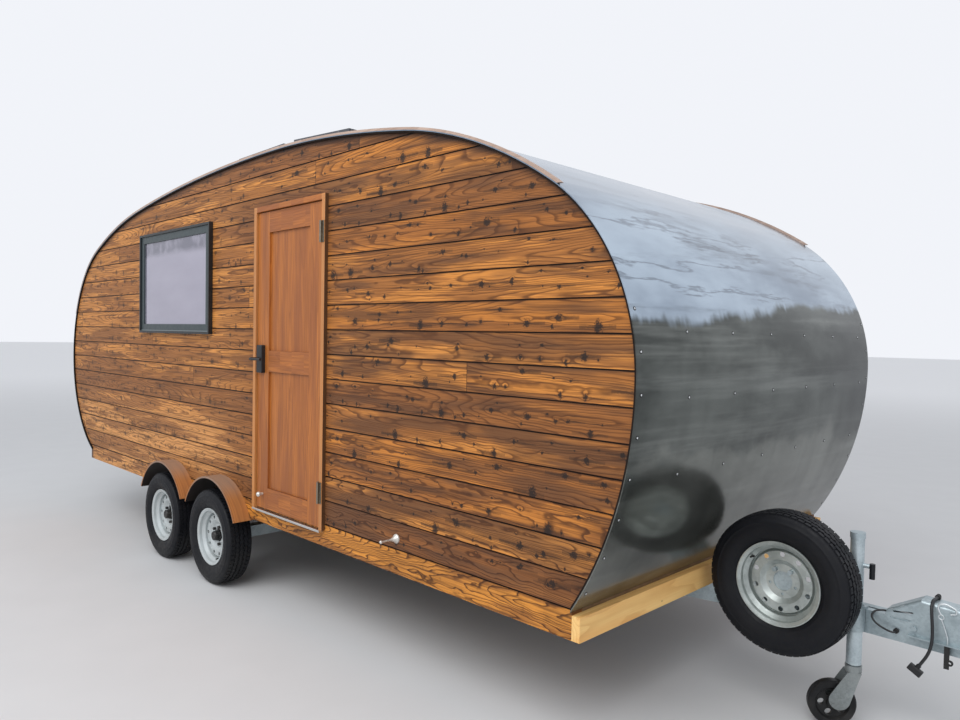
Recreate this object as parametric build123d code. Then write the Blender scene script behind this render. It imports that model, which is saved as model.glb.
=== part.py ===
from build123d import *
from math import acos, asin, atan2, cos, degrees, pi, radians, sin, sqrt, tan
import os

# A towed wooden camper with an oval body. X runs forward to the coupler, Y to the far side and
# Z up from the ground. Sizes are in millimetres, and X here starts at the floor's rear edge.

# Fits
GAP = 0.3  # between curved faces that meet
RUNNING = 0.06  # radial clearance of a shaft in its bore

# Body outline: the floor, how far each end bulges past it, and the crown
FLOOR_LENGTH = 5330
FLOOR_BOTTOM = 471
FLOOR_DEPTH = 109
HALF_WIDTH = 1175
REAR_BULGE = 514
FRONT_BULGE = 268
CROWN_BACK = 2518  # crown behind the front's furthest point
CROWN_Z = 2668
REAR_RISE = 1310  # crown above the rear's furthest point
FRONT_RISE = 1202
REAR_FOOT = 80  # upright foot under each curved end
FRONT_FOOT = 109
REAR_SHOULDER = 995
REAR_TURNS = (68, 82.218)  # angles at which the shoulder arc and the middle arc end
FRONT_SHOULDER = 900
FRONT_TURNS = (57, 80.444)

# Skin, walls, cladding and the strips along their edges
SKIN = 4
SKIN_LIP = 12  # skin past the cladding on each side
SHELL = 65
WALL = 62
REAR_SEAM = 342  # sheet joints above the ends' furthest points
FRONT_SEAM = 204
BOARD = 130.2
FIRST_BOARD = 116  # first joint above the floor's underside
GROOVE_WIDTH = 6
GROOVE_DEPTH = 5
EDGING = 8
EDGING_PROUD = 10
STRIP_WIDTH = 20
STRIP_HEIGHT = 12
REAR_STRIP = 392  # start of the roof strips above the ends' furthest points
FRONT_STRIP = 734
TIMBER_HEIGHT = 96
TIMBER_DEPTH = 38

# Wheels, tyres and hubs
REAR_AXLE = 1740
AXLE_SPREAD = 756
WHEEL_PROUD = 26  # wheels' seats outside the walls' faces
TYRE_RADIUS = 300
TYRE_HALF = 83
TREAD_HALF = 64
TREAD_CROWN = 4
TYRE_SHOULDER = 14
SPARE_GROWTH = 4  # the spare carries no load
BEAD_RADIUS = 165
FLANGE_HEIGHT = 15.5
RIM_HALF = 67
RIM_LIP = 6.5
RIM_METAL = 4
BEAD_SEAT = 15
WELL_DEPTH = 17
DISC_METAL = 5
DISC_BOSS = 75
DISC_SINK = 15
DISC_SLOPE = 22
CENTRE_BORE = 41.5
STUDS = 5
BOLT_CIRCLE = 114.3
STUD_HOLE = 6.5
NUT = 9.5
NUT_HEIGHT = 16
VENTS = 10
VENT_CIRCLE = 236
VENT = 11
DRUM_RADIUS = 112
DRUM_DEPTH = 58
DRUM_WALL = 8
HUB_BARREL = 34
HUB_LENGTH = 50
HUB_NOSE = 20
CAP_RADIUS = 30
CAP_LENGTH = 24
SPINDLE = 17.5

# Axles: rubber torsion tubes with trailing arms
AXLE_TUBE = 70
AXLE_AHEAD = 150
ARM = 28
ARM_EYE = 42
ARM_END = 30
BACKPLATE = 100
BACKPLATE_OUT = 67  # behind the wheel's seat
TYRE_ROOM = 8

# Fenders and the boxes over the wheels
FENDER_RADIUS = 385
FENDER_METAL = 12
FENDER_OUT = 108
FENDER_DROP = 14  # outer ends below the cladding
FENDER_LIFT = 4  # inner ends above the cladding's lower edge
BOX_END = 28
BOX_HEAD = 25
BOX_DEPTH = 78
BOX_BOARD = 12

# Door, its trim and hardware
DOOR_AHEAD = 439  # opening ahead of the front axle
DOOR_WIDTH = 700
DOOR_SILL = 90  # opening above the floor's underside
DOOR_HEAD = 346  # opening below the crown
TRIM = 30
TRIM_PROUD = 21
SILL_HEIGHT = 13
SILL_PROUD = 8
LEAF = 50
LEAF_PROUD = 8
LEAF_GAP = 5
STILE = 128
TOP_RAIL = 121
LOCK_RAIL_UP = 815
LOCK_RAIL = 124
BOTTOM_RAIL = 124
PANEL_SINK = 12
HINGE_UP = 135
HINGE_DOWN = 165
HINGE_LENGTH = 115
HINGE_PIN = 4
HINGE_BARREL = 6.5
HINGE_OUT = 8
HINGE_PLATE = 3
LOCK_IN = 57
LOCK_UP = 888
LOCK_SIZE = (62, 165, 25)  # along the door, up and out
LEVER_LENGTH = 112
LEVER_OUT = 45
KNOB_IN = 72
KNOB_UP = 84
KNOB_RADIUS = 15
KNOB_OUT = 26
HOLDBACK_AHEAD = 640  # from the hinges
HOLDBACK_UP = 79
HOLDBACK_OUT = 92
HOLDBACK_BASE = 23
HOLDBACK_BALL = 8

# Window
WINDOW_X = 1130
WINDOW_LENGTH = 1187
WINDOW_HEIGHT = 738
WINDOW_DROP = 338  # top below the crown
WINDOW_PROUD = 28
WINDOW_RIM = 16
SASH = 50
SASH_PROUD = 18
CLAMPING = 28  # frame's overlap on the wall
LINING = 20
LINING_PROUD = 5
PANE = 6
PANE_PROUD = 8

# Solar panels, placed along the roof from the crown
SOLAR_X = (-210, 440)
SOLAR_LENGTH = 540
SOLAR_WIDTH = 1200
SOLAR_INSET = 35
SOLAR_DEPTH = 30
SOLAR_LIFT = 8
SOLAR_FRAME = 22
SOLAR_RECESS = 2
SOLAR_FOOT = 40

# Tail lamps
LAMP_UP = 459
LAMP_ACROSS = 980
LAMP_RADIUS = 52
LAMP_PROUD = 12
LENS = 8

# Chassis: the rails run level, close in under the floor and rise a little at the nose
RAIL_REAR = 100
RAIL_SPREAD = 600
RAIL_TAPER = 2430  # start of the taper behind the floor's end
RAIL_NECK = (45, 117)  # ahead of the floor's end, half width
NOSE_START = 610  # behind the ball
NOSE_END = 210
NOSE_HALF = 42
NOSE_RISE = 24
RAIL_HEIGHT = 98
RAIL_FLANGE = 34
RAIL_METAL = 4
CROSSMEMBERS = 6
CROSS_INSET = 150
CROSS_HEIGHT = 60
CROSS_WIDTH = 40

# Jack and its jockey wheel
JACK_BACK = 632  # behind the ball
JACK_OUT = 11  # tube's side to the rail
JACK_TUBE = 30
JACK_UPPER = 27.5
JACK_BORE = 24
JACK_BOTTOM = 270
JACK_STEP = 512
JACK_TOP = 825
JACK_CAP = 24
CLAMP_DROP = 83
CLAMP_RISE = 25
CLAMP_WALL = 4
CLAMP_HALF = 28
CRANK_UP = 690
CRANK_REACH = 60
CRANK_GRIP = 50
INNER_TOP = 700
FORK_HEADING = 214
FORK_TRAIL = 82
FORK_TOP = 265
FORK_PLATE = 238
FORK_METAL = 4
FORK_COLLAR = 33
CHEEK_ROOM = 6
CHEEK_LOBE = (58, 118, 42)  # along the trail, height, radius
JOCKEY_RADIUS = 96
JOCKEY_HALF = 22
JOCKEY_AXLE = 8
JOCKEY_WEB = 9
JOCKEY_WINDOWS = 5
WINDOW_CIRCLE = 43
WINDOW_HOLE = 14

# Coupler: a pressed housing over the rails' nose, and the ball head that slides in it
BALL_AHEAD = 1280
BALL_DROP = 43  # ball's centre below the nose's top
SOCKET = 25.5
HEAD_RADIUS = 40
HEAD_WALL = 9.5
SOCKET_SKIRT = 4
NECK_HALF = 30
HOUSING_METAL = 4
HOUSING_LENGTH = 335
HOUSING_BACK = 190  # front edge behind the ball
HOUSING_PEAK = 125  # highest point ahead of the rear edge
HOUSING_LIP = 23
HOUSING_TOP = 95
HOUSING_FALL = 12
HOUSING_DROP = 57
HOUSING_FOOT = 25
HOUSING_BEND = 14
FLANGE_WIDTH = 24
FLANGE_BACK = 85

# Spare wheel
SPARE_AHEAD = 391
SPARE_OUT = 201
SPARE_UP = 110
SPARE_TURN = -18
CARRIER_HALF = 60
CARRIER_METAL = 8
CARRIER_TOP = 70
CARRIER_BOTTOM = 118
CARRIER_ARM = 25

# Cords
CABLE_RADIUS = 6
LEAD_RADIUS = 4
BOOT_RADIUS = 9
GROMMET_RADIUS = 10
GROMMET_OUT = 12
PLUG_SIZE = (54, 20, 28)
PLUG_NECK = 12

# Places worked out from the sizes
REAR_X = -REAR_BULGE
FRONT_X = FLOOR_LENGTH + FRONT_BULGE
CROWN_X = FRONT_X - CROWN_BACK
REAR_Z = CROWN_Z - REAR_RISE
FRONT_Z = CROWN_Z - FRONT_RISE
FLOOR_TOP = FLOOR_BOTTOM + FLOOR_DEPTH
INNER_Y = HALF_WIDTH - WALL
AXLE_X = (REAR_AXLE, REAR_AXLE + AXLE_SPREAD)
WHEEL_Y = HALF_WIDTH + WHEEL_PROUD
WHEEL_Z = TYRE_RADIUS
BALL_X = FLOOR_LENGTH + BALL_AHEAD
NOSE_TOP = FLOOR_BOTTOM + NOSE_RISE
BALL_Z = NOSE_TOP - BALL_DROP
X_MID = (REAR_X + BALL_X + HEAD_RADIUS) / 2
FAR = 2 * FLOOR_LENGTH

# Where each rail runs: x, half width at the outside of its web, top
RAIL = (
    (RAIL_REAR, RAIL_SPREAD, FLOOR_BOTTOM),
    (FLOOR_LENGTH - RAIL_TAPER, RAIL_SPREAD, FLOOR_BOTTOM),
    (FLOOR_LENGTH + RAIL_NECK[0], RAIL_NECK[1], FLOOR_BOTTOM),
    (BALL_X - NOSE_START, NOSE_HALF, NOSE_TOP),
    (BALL_X - NOSE_END, NOSE_HALF, NOSE_TOP),
)


def block(x0, x1, y0, y1, z0, z1):
    """Box between two corners."""
    return Pos(x0, y0, z0) * Box(x1 - x0, y1 - y0, z1 - z0, align=Align.MIN)


def rod(start, end, radius):
    """Round bar from one point to another."""
    line = Line(start, end)
    return extrude(Plane(start, z_dir=line % 0) * Circle(radius), amount=line.length)


def slab(face, y0, y1):
    """A face drawn in X and Z, made solid between two Y values."""
    return extrude(Plane.XZ.offset(-y0) * face, amount=y0 - y1)


def far(shape):
    """The far side's copy of a near side piece."""
    return mirror(shape, about=Plane.XZ)


def polar(centre, radius, angle):
    return centre[0] + radius * cos(radians(angle)), centre[1] + radius * sin(radians(angle))


def arc(centre, radius, first, last):
    """Arc about a centre between two angles."""
    middle = (first + last) / 2
    return ThreePointArc(polar(centre, radius, first), polar(centre, radius, middle), polar(centre, radius, last))


def crown(width, rise, shoulder, turns):
    """Three tangent arcs from an upright at (width, 0) to a level top at (0, rise).

    Each is centre, radius, first angle and last angle. The two larger radii follow from the size.
    """
    cos1, sin1 = cos(radians(turns[0])), sin(radians(turns[0]))
    cos2, sin2 = cos(radians(turns[1])), sin(radians(turns[1]))
    across = width - shoulder * (1 - cos1)
    up = rise - shoulder * sin1
    whole = (cos1 - cos2) * (1 - sin2) - cos2 * (sin2 - sin1)
    middle = (across * (1 - sin2) - cos2 * up) / whole
    top = ((cos1 - cos2) * up - (sin2 - sin1) * across) / whole
    first = (width - shoulder, 0)
    second = polar(first, shoulder - middle, turns[0])
    return [(first, shoulder, 0, turns[0]), (second, middle, *turns), ((0, rise - top), top, turns[1], 90)]


REAR_CROWN = crown(CROWN_X - REAR_X, REAR_RISE, REAR_SHOULDER, REAR_TURNS)
FRONT_CROWN = crown(FRONT_X - CROWN_X, FRONT_RISE, FRONT_SHOULDER, FRONT_TURNS)


def lower_radius(bulge, drop):
    """Radius of an arc that starts upright and falls by drop while it comes in by bulge."""
    return (bulge ** 2 + drop ** 2) / (2 * bulge)


REAR_LOWER = lower_radius(REAR_BULGE, REAR_Z - FLOOR_BOTTOM - REAR_FOOT)
FRONT_LOWER = lower_radius(FRONT_BULGE, FRONT_Z - FLOOR_BOTTOM - FRONT_FOOT)


def outline(inset=0):
    """The oval side outline with its square foot, moved inwards by inset."""
    foot = (REAR_X + REAR_LOWER, REAR_Z)
    arcs = [(foot, REAR_LOWER, 360 - degrees(acos(-foot[0] / (REAR_LOWER - inset))), 180)]
    for centre, radius, a, b in REAR_CROWN:
        arcs.append(((CROWN_X - centre[0], REAR_Z + centre[1]), radius, 180 - a, 180 - b))
    for centre, radius, a, b in reversed(FRONT_CROWN):
        arcs.append(((CROWN_X + centre[0], FRONT_Z + centre[1]), radius, b, a))
    foot = (FRONT_X - FRONT_LOWER, FRONT_Z)
    arcs.append((foot, FRONT_LOWER, 0, -degrees(acos((FLOOR_LENGTH - foot[0]) / (FRONT_LOWER - inset)))))
    edges = [arc(centre, radius - inset, a, b) for centre, radius, a, b in arcs]
    edges.append(Line(edges[-1] @ 1, (FLOOR_LENGTH, FLOOR_BOTTOM)))
    edges.append(Line((FLOOR_LENGTH, FLOOR_BOTTOM), (0, FLOOR_BOTTOM)))
    edges.append(Line((0, FLOOR_BOTTOM), edges[0] @ 0))
    return make_face(edges)


parts = {}

# Shell in three sheets: the skin laps the side walls' edges and stands past their cladding, and
# the core under it fills the space between the walls' inner faces
body = outline()
shell = slab(body - outline(SKIN), -HALF_WIDTH - SKIN_LIP, HALF_WIDTH + SKIN_LIP)
shell += slab(body - outline(SHELL), -INNER_Y, INNER_Y)
front_region = block(CROWN_X, CROWN_X + FAR, -FAR, FAR, 0, FRONT_Z + FRONT_SEAM)
rear_region = block(CROWN_X - FAR, CROWN_X, -FAR, FAR, 0, REAR_Z + REAR_SEAM)
parts["front_shell"] = shell & front_region
parts["rear_shell"] = shell & rear_region
parts["roof_shell"] = shell - front_region - rear_region

# Side walls with their boards' joints, window, arches and door
wall_y = -HALF_WIDTH, -INNER_Y
wall = slab(outline(SKIN + GAP), *wall_y)
for x in AXLE_X:
    wall -= Pos(x, -HALF_WIDTH, WHEEL_Z) * Rot(90, 0, 0) * Cylinder(FENDER_RADIUS + GAP, 3 * WALL)
window_x = WINDOW_X, WINDOW_X + WINDOW_LENGTH
window_z = CROWN_Z - WINDOW_DROP - WINDOW_HEIGHT, CROWN_Z - WINDOW_DROP
hole_x = window_x[0] + CLAMPING, window_x[1] - CLAMPING
hole_z = window_z[0] + CLAMPING, window_z[1] - CLAMPING
wall -= block(*hole_x, wall_y[0] - 1, wall_y[1] + 1, *hole_z)
board_z = FLOOR_BOTTOM + FIRST_BOARD
while board_z < CROWN_Z - BOARD / 2:
    wall -= block(REAR_X, FRONT_X, wall_y[0] - 1, wall_y[0] + GROOVE_DEPTH, board_z, board_z + GROOVE_WIDTH)
    board_z += BOARD
door_x = AXLE_X[1] + DOOR_AHEAD, AXLE_X[1] + DOOR_AHEAD + DOOR_WIDTH
door_z = FLOOR_BOTTOM + DOOR_SILL, CROWN_Z - DOOR_HEAD
parts["wall_door_side"] = wall - block(*door_x, wall_y[0] - 1, wall_y[1] + 1, *door_z)
parts["wall_far_side"] = far(wall)

# Dark edging round each wall, inside the skin's lip, and a strip on top along the roof's edge
inset = SKIN + GAP
edging = slab(outline(inset) - outline(inset + EDGING), -HALF_WIDTH - EDGING_PROUD, -HALF_WIDTH)
parts["wall_edgings"] = Compound([edging, far(edging)])
strip_y = -HALF_WIDTH - SKIN_LIP, -HALF_WIDTH - SKIN_LIP + STRIP_WIDTH
strip = slab(outline(-GAP - STRIP_HEIGHT) - outline(-GAP), *strip_y)
strip -= block(CROWN_X - FAR, CROWN_X, -FAR, FAR, 0, REAR_Z + REAR_STRIP)
strip -= block(CROWN_X, CROWN_X + FAR, -FAR, FAR, 0, FRONT_Z + FRONT_STRIP)
parts["roof_strips"] = Compound([strip, far(strip)])

# Floor and the timbers across its ends
box_x = AXLE_X[0] - FENDER_RADIUS - BOX_BOARD - BOX_END, AXLE_X[1] + FENDER_RADIUS + BOX_BOARD + BOX_END
floor = block(0, FLOOR_LENGTH, -INNER_Y, INNER_Y, FLOOR_BOTTOM, FLOOR_TOP)
for side in (-1, 1):
    notch_y = sorted((side * (INNER_Y - BOX_DEPTH), side * (INNER_Y + 1)))
    floor -= block(*box_x, *notch_y, FLOOR_BOTTOM - 1, FLOOR_TOP + 1)
parts["floor"] = floor
timber_y = -HALF_WIDTH, HALF_WIDTH
timber_top = FLOOR_BOTTOM + min(TIMBER_HEIGHT, FRONT_FOOT - SKIN)
parts["front_timber"] = block(FLOOR_LENGTH, FLOOR_LENGTH + TIMBER_DEPTH, *timber_y, FLOOR_BOTTOM, timber_top)
parts["rear_timber"] = block(-TIMBER_DEPTH, 0, *timber_y, FLOOR_BOTTOM, FLOOR_BOTTOM + REAR_FOOT - SKIN)

# Boxes over the wheels, open below and to the arches
box_y = -INNER_Y, -INNER_Y + BOX_DEPTH
box_top = WHEEL_Z + FENDER_RADIUS + BOX_BOARD + BOX_HEAD
wheel_box = block(*box_x, *box_y, FLOOR_BOTTOM, box_top)
wheel_box -= block(box_x[0] + BOX_BOARD, box_x[1] - BOX_BOARD, box_y[0] - 1, box_y[1] - BOX_BOARD,
                   FLOOR_BOTTOM - 1, box_top - BOX_BOARD)
parts["wheel_box_door_side"] = wheel_box
parts["wheel_box_far_side"] = far(wheel_box)


# Fenders: a bent strip over each wheel, ending side by side between the two
def fender(x, first, last):
    """One bent strip about the wheel at x."""
    outer = arc((x, WHEEL_Z), FENDER_RADIUS, first, last)
    inner = arc((x, WHEEL_Z), FENDER_RADIUS - FENDER_METAL, last, first)
    face = make_face([outer, Line(outer @ 1, inner @ 0), inner, Line(inner @ 1, outer @ 0)])
    return slab(face, -HALF_WIDTH - FENDER_OUT, -INNER_Y)


outer_end = degrees(asin((FLOOR_BOTTOM - FENDER_DROP - WHEEL_Z) / FENDER_RADIUS))
inner_end = degrees(asin((FLOOR_BOTTOM + FENDER_LIFT - WHEEL_Z) / FENDER_RADIUS))
rear_fender = fender(AXLE_X[0], inner_end, 180 - outer_end)
front_fender = fender(AXLE_X[1], outer_end, 180 - inner_end)
parts["fenders_door_side"] = Compound([rear_fender, front_fender])
parts["fenders_far_side"] = Compound([far(rear_fender), far(front_fender)])

# Door trim on three sides, and the metal sill that its feet stand on
trim_y = -HALF_WIDTH - TRIM_PROUD, -HALF_WIDTH
sill_z = door_z[0] - 3 - SILL_HEIGHT, door_z[0] - 3
trim = block(door_x[0] - TRIM, door_x[1] + TRIM, *trim_y, sill_z[1], door_z[1] + TRIM)
trim -= block(*door_x, trim_y[0] - 1, trim_y[1] + 1, sill_z[1] - 1, door_z[1])
parts["door_trim"] = trim
sill = block(door_x[0] - TRIM / 2, door_x[1] + TRIM / 2, trim_y[0] - SILL_PROUD, -HALF_WIDTH, *sill_z)
parts["door_sill"] = fillet(sill.edges().filter_by(Axis.X).group_by(Axis.Y)[0], SILL_HEIGHT / 4)

# Door leaf with two sunk panels on each face
leaf_x = door_x[0] + LEAF_GAP, door_x[1] - LEAF_GAP
leaf_z = door_z[0] + LEAF_GAP, door_z[1] - LEAF_GAP
leaf_y = -HALF_WIDTH - LEAF_PROUD, -HALF_WIDTH - LEAF_PROUD + LEAF
leaf = block(*leaf_x, *leaf_y, *leaf_z)
lock_rail_z = leaf_z[0] + LOCK_RAIL_UP
panels = (
    (leaf_z[0] + BOTTOM_RAIL, lock_rail_z),
    (lock_rail_z + LOCK_RAIL, leaf_z[1] - TOP_RAIL),
)
for z0, z1 in panels:
    for y0, y1 in ((leaf_y[0] - 1, leaf_y[0] + PANEL_SINK), (leaf_y[1] - PANEL_SINK, leaf_y[1] + 1)):
        leaf -= block(leaf_x[0] + STILE, leaf_x[1] - STILE, y0, y1, z0, z1)
parts["door_leaf"] = leaf

# Hinges: a pin and lower barrel fixed to the trim, an upper barrel on the leaf
pin_x = door_x[1]
pin_y = trim_y[0] - HINGE_OUT
half_hinge = HINGE_LENGTH / 2
fixed = []
moving = []
for z in (leaf_z[0] + HINGE_UP + half_hinge, leaf_z[1] - HINGE_DOWN):
    plate = block(pin_x + LEAF_GAP, pin_x + TRIM - LEAF_GAP, trim_y[0] - HINGE_PLATE, trim_y[0],
                  z - half_hinge, z + half_hinge)
    plate += block(pin_x - HINGE_PIN, pin_x + LEAF_GAP + 1, pin_y, trim_y[0], z - half_hinge, z - 1)
    plate += rod((pin_x, pin_y, z - half_hinge), (pin_x, pin_y, z - 1), HINGE_BARREL)
    plate += rod((pin_x, pin_y, z - half_hinge), (pin_x, pin_y, z + half_hinge), HINGE_PIN)
    fixed.append(plate)
    tongue = block(pin_x - 6 * LEAF_GAP, pin_x - LEAF_GAP, leaf_y[0] - HINGE_PLATE, leaf_y[0], z, z + half_hinge)
    tongue += block(pin_x - 2 * LEAF_GAP - 1, pin_x - LEAF_GAP, pin_y, leaf_y[0], z, z + half_hinge)
    tongue += block(pin_x - 2 * LEAF_GAP - 1, pin_x, pin_y, pin_y + HINGE_PLATE, z, z + half_hinge)
    tongue += rod((pin_x, pin_y, z), (pin_x, pin_y, z + half_hinge), HINGE_BARREL)
    tongue -= rod((pin_x, pin_y, z - 1), (pin_x, pin_y, z + half_hinge + 1), HINGE_PIN + RUNNING)
    moving.append(tongue)
parts["door_hinges_fixed"] = Compound(fixed)
parts["door_hinges_moving"] = Compound(moving)

# Lock case with a lever that points to the hinges
lock_x = leaf_x[0] + LOCK_IN
lock_z = leaf_z[0] + LOCK_UP
case_x, case_z, case_y = LOCK_SIZE
lock = block(lock_x - case_x / 2, lock_x + case_x / 2, leaf_y[0] - case_y, leaf_y[0],
             lock_z - case_z / 2, lock_z + case_z / 2)
lock = fillet(lock.edges().filter_by(Axis.Y), case_x / 8)
lock = fillet(lock.faces().sort_by(Axis.Y)[0].edges(), case_y / 5)
lever_y = leaf_y[0] - case_y - LEVER_OUT
lever_x = lock_x - case_x / 5
lever_r = case_x / 8
lock += rod((lever_x, leaf_y[0] - case_y, lock_z), (lever_x, lever_y, lock_z), lever_r + 2)
lock += rod((lever_x - lever_r, lever_y, lock_z), (lever_x + LEVER_LENGTH, lever_y, lock_z), lever_r)
parts["door_lock"] = lock

# Ball on the leaf, and the holdback on the cladding that it meets when the door is open
knob_at = leaf_x[0] + KNOB_IN, leaf_y[0], leaf_z[0] + KNOB_UP
knob = rod(knob_at, (knob_at[0], knob_at[1] - KNOB_OUT, knob_at[2]), KNOB_RADIUS / 2)
knob += Pos(knob_at[0], knob_at[1] - KNOB_OUT, knob_at[2]) * Sphere(KNOB_RADIUS)
parts["door_knob"] = knob
neck = HOLDBACK_BALL * 0.6
trumpet = [
    Line((0, 0), (HOLDBACK_BASE, 0)),
    Line((HOLDBACK_BASE, 0), (HOLDBACK_BASE - 1, 5)),
    ThreePointArc((HOLDBACK_BASE - 1, 5), (neck * 2, HOLDBACK_OUT / 4), (neck, HOLDBACK_OUT * 0.6)),
    Line((neck, HOLDBACK_OUT * 0.6), (neck, HOLDBACK_OUT)),
    Line((neck, HOLDBACK_OUT), (0, HOLDBACK_OUT)),
    Line((0, HOLDBACK_OUT), (0, 0)),
]
holdback = revolve(make_face(trumpet), axis=Axis.Y)
holdback += Pos(0, HOLDBACK_OUT, 0) * Sphere(HOLDBACK_BALL)
holdback_at = Pos(pin_x + HOLDBACK_AHEAD, -HALF_WIDTH, door_z[0] + HOLDBACK_UP)
parts["door_holdback"] = holdback_at * Rot(0, 0, 180) * holdback


# Windows: a rim and a sash clamped through the wall to a lining, with one pane
def window_ring(margin, y0, y1):
    """A block over the window's outline, moved inwards by margin."""
    return block(window_x[0] + margin, window_x[1] - margin, y0, y1, window_z[0] + margin, window_z[1] - margin)


light = WINDOW_RIM + SASH
frame = window_ring(0, -HALF_WIDTH - WINDOW_PROUD, -HALF_WIDTH)
frame -= window_ring(WINDOW_RIM, -HALF_WIDTH - WINDOW_PROUD - 1, -HALF_WIDTH - SASH_PROUD)
frame += window_ring(CLAMPING + GAP, -HALF_WIDTH - 1, -INNER_Y)
frame += window_ring(CLAMPING - LINING, -INNER_Y, -INNER_Y + LINING_PROUD)
frame -= window_ring(light, -HALF_WIDTH - WINDOW_PROUD - 1, -INNER_Y + LINING_PROUD + 1)
pane = window_ring(light, -HALF_WIDTH - PANE_PROUD, -HALF_WIDTH - PANE_PROUD + PANE)
parts["window_frame_door_side"] = frame
parts["window_pane_door_side"] = pane
parts["window_frame_far_side"] = far(frame)
parts["window_pane_far_side"] = far(pane)

# Solar panels: each a framed sheet laid along the roof, on four feet cut to its curve
panels = []
for offset in SOLAR_X:
    rise, radius = (REAR_RISE, REAR_CROWN[2][1]) if offset < 0 else (FRONT_RISE, FRONT_CROWN[2][1])
    lean = degrees(asin(offset / radius))
    roof_z = CROWN_Z - radius + sqrt(radius ** 2 - offset ** 2)
    middle_y = -HALF_WIDTH + SOLAR_INSET + SOLAR_WIDTH / 2
    place = Pos(CROWN_X + offset, middle_y, roof_z) * Rot(0, lean, 0) * Pos(0, 0, SOLAR_LIFT)
    panel = Pos(0, 0, SOLAR_DEPTH / 2) * Box(SOLAR_LENGTH, SOLAR_WIDTH, SOLAR_DEPTH)
    glass = SOLAR_LENGTH - 2 * SOLAR_FRAME, SOLAR_WIDTH - 2 * SOLAR_FRAME
    panel -= Pos(0, 0, SOLAR_DEPTH - SOLAR_RECESS / 2) * Box(*glass, SOLAR_RECESS)
    foot_x = (SOLAR_LENGTH - SOLAR_FOOT) / 2
    foot_y = SOLAR_WIDTH / 3
    feet = GridLocations(2 * foot_x, 2 * foot_y, 2, 2) * Box(SOLAR_FOOT, SOLAR_FOOT, 4 * SOLAR_LIFT)
    panel = place * panel
    for foot in feet:
        panel += place * foot - slab(outline(-GAP), -HALF_WIDTH, HALF_WIDTH)
    panels.append(panel)
parts["solar_panels"] = Compound(panels)

# Tail lamps: round cases that face straight back, cut to the rear's curve
lamp_z = FLOOR_BOTTOM + LAMP_UP
top_z = lamp_z + LAMP_RADIUS - REAR_Z
lamp_x = REAR_X + REAR_LOWER - sqrt(REAR_LOWER ** 2 - top_z ** 2) - LAMP_PROUD
lamp = rod((lamp_x, -LAMP_ACROSS, lamp_z), (lamp_x + 3 * LAMP_RADIUS, -LAMP_ACROSS, lamp_z), LAMP_RADIUS)
lamp -= slab(outline(-GAP), -HALF_WIDTH, HALF_WIDTH)
lamp += rod((lamp_x - LENS, -LAMP_ACROSS, lamp_z), (lamp_x, -LAMP_ACROSS, lamp_z), LAMP_RADIUS - LENS / 2)
parts["tail_lamps"] = Compound([lamp, far(lamp)])


def revolved(points):
    """A ring about the Y axis from points of radius and Y."""
    return revolve(make_face(Polyline(*points, close=True)), axis=Axis.Y)


# Heights of the rim's profile across its half width, which the tyre's bead follows
lip = RIM_HALF - RIM_LIP
seat = lip - RIM_METAL
ledge = seat - BEAD_SEAT
well = ledge - BEAD_SEAT
RIM_RADIUS = BEAD_RADIUS + FLANGE_HEIGHT
RIM_WELL = BEAD_RADIUS - WELL_DEPTH


def tyre(radius):
    """A tyre about Y, from its beads to its tread."""
    bead = (BEAD_RADIUS + 2 + GAP, seat - GAP)
    heel = (RIM_RADIUS + 2, lip - GAP)
    bulge = ((RIM_RADIUS + radius - TYRE_SHOULDER) / 2, TYRE_HALF)
    shoulder = (radius - TYRE_SHOULDER, TREAD_HALF + TYRE_SHOULDER - TREAD_CROWN)
    edge = (radius - TREAD_CROWN, TREAD_HALF)
    half = [
        Line((bead[0], 0), bead),
        Line(bead, heel),
        ThreePointArc(heel, bulge, shoulder),
        Line(shoulder, edge),
        ThreePointArc(edge, (radius - TREAD_CROWN / 4, TREAD_HALF / 2), (radius, 0)),
        Line((radius, 0), (bead[0], 0)),
    ]
    one = revolve(make_face(half), axis=Axis.Y)
    return one + far(one)


def rim(turn):
    """A pressed wheel about Y: barrel, dished disc, stud holes and vents. The street side is -Y."""
    outside = [(RIM_RADIUS, lip), (BEAD_RADIUS + 2, seat), (BEAD_RADIUS, ledge), (RIM_WELL, well)]
    inside = [(RIM_WELL - RIM_METAL, well + 2), (BEAD_RADIUS - RIM_METAL, ledge + 2),
              (BEAD_RADIUS - 2, lip), (RIM_RADIUS - RIM_METAL, RIM_HALF), (RIM_RADIUS, RIM_HALF)]
    left = [(r, -y) for r, y in outside]
    right = [(r, y) for r, y in reversed(outside)]
    back = [(r, y) for r, y in reversed(inside)]
    wheel = revolved(left + right + back + [(r, -y) for r, y in inside])
    edge = RIM_WELL - RIM_METAL + 1
    sunk = DISC_SINK + DISC_METAL
    disc = [(CENTRE_BORE, -DISC_METAL), (CENTRE_BORE, 0), (DISC_BOSS, 0), (DISC_BOSS + DISC_SLOPE, -DISC_SINK),
            (edge - 17, -DISC_SINK), (edge - 7, 2), (edge, 2), (edge, -DISC_METAL), (edge - 4, -DISC_METAL),
            (edge - 14, -sunk), (DISC_BOSS + DISC_SLOPE - 2, -sunk), (DISC_BOSS - 2, -DISC_METAL)]
    wheel += revolved(disc)
    for spot in PolarLocations(BOLT_CIRCLE / 2, STUDS, start_angle=turn):
        wheel -= Rot(90, 0, 0) * spot * Cylinder(STUD_HOLE, 10 * DISC_METAL)
    for spot in PolarLocations(VENT_CIRCLE / 2, VENTS, start_angle=turn):
        wheel -= Rot(90, 0, 0) * spot * Cylinder(VENT, 10 * DISC_METAL)
    return wheel


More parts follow.
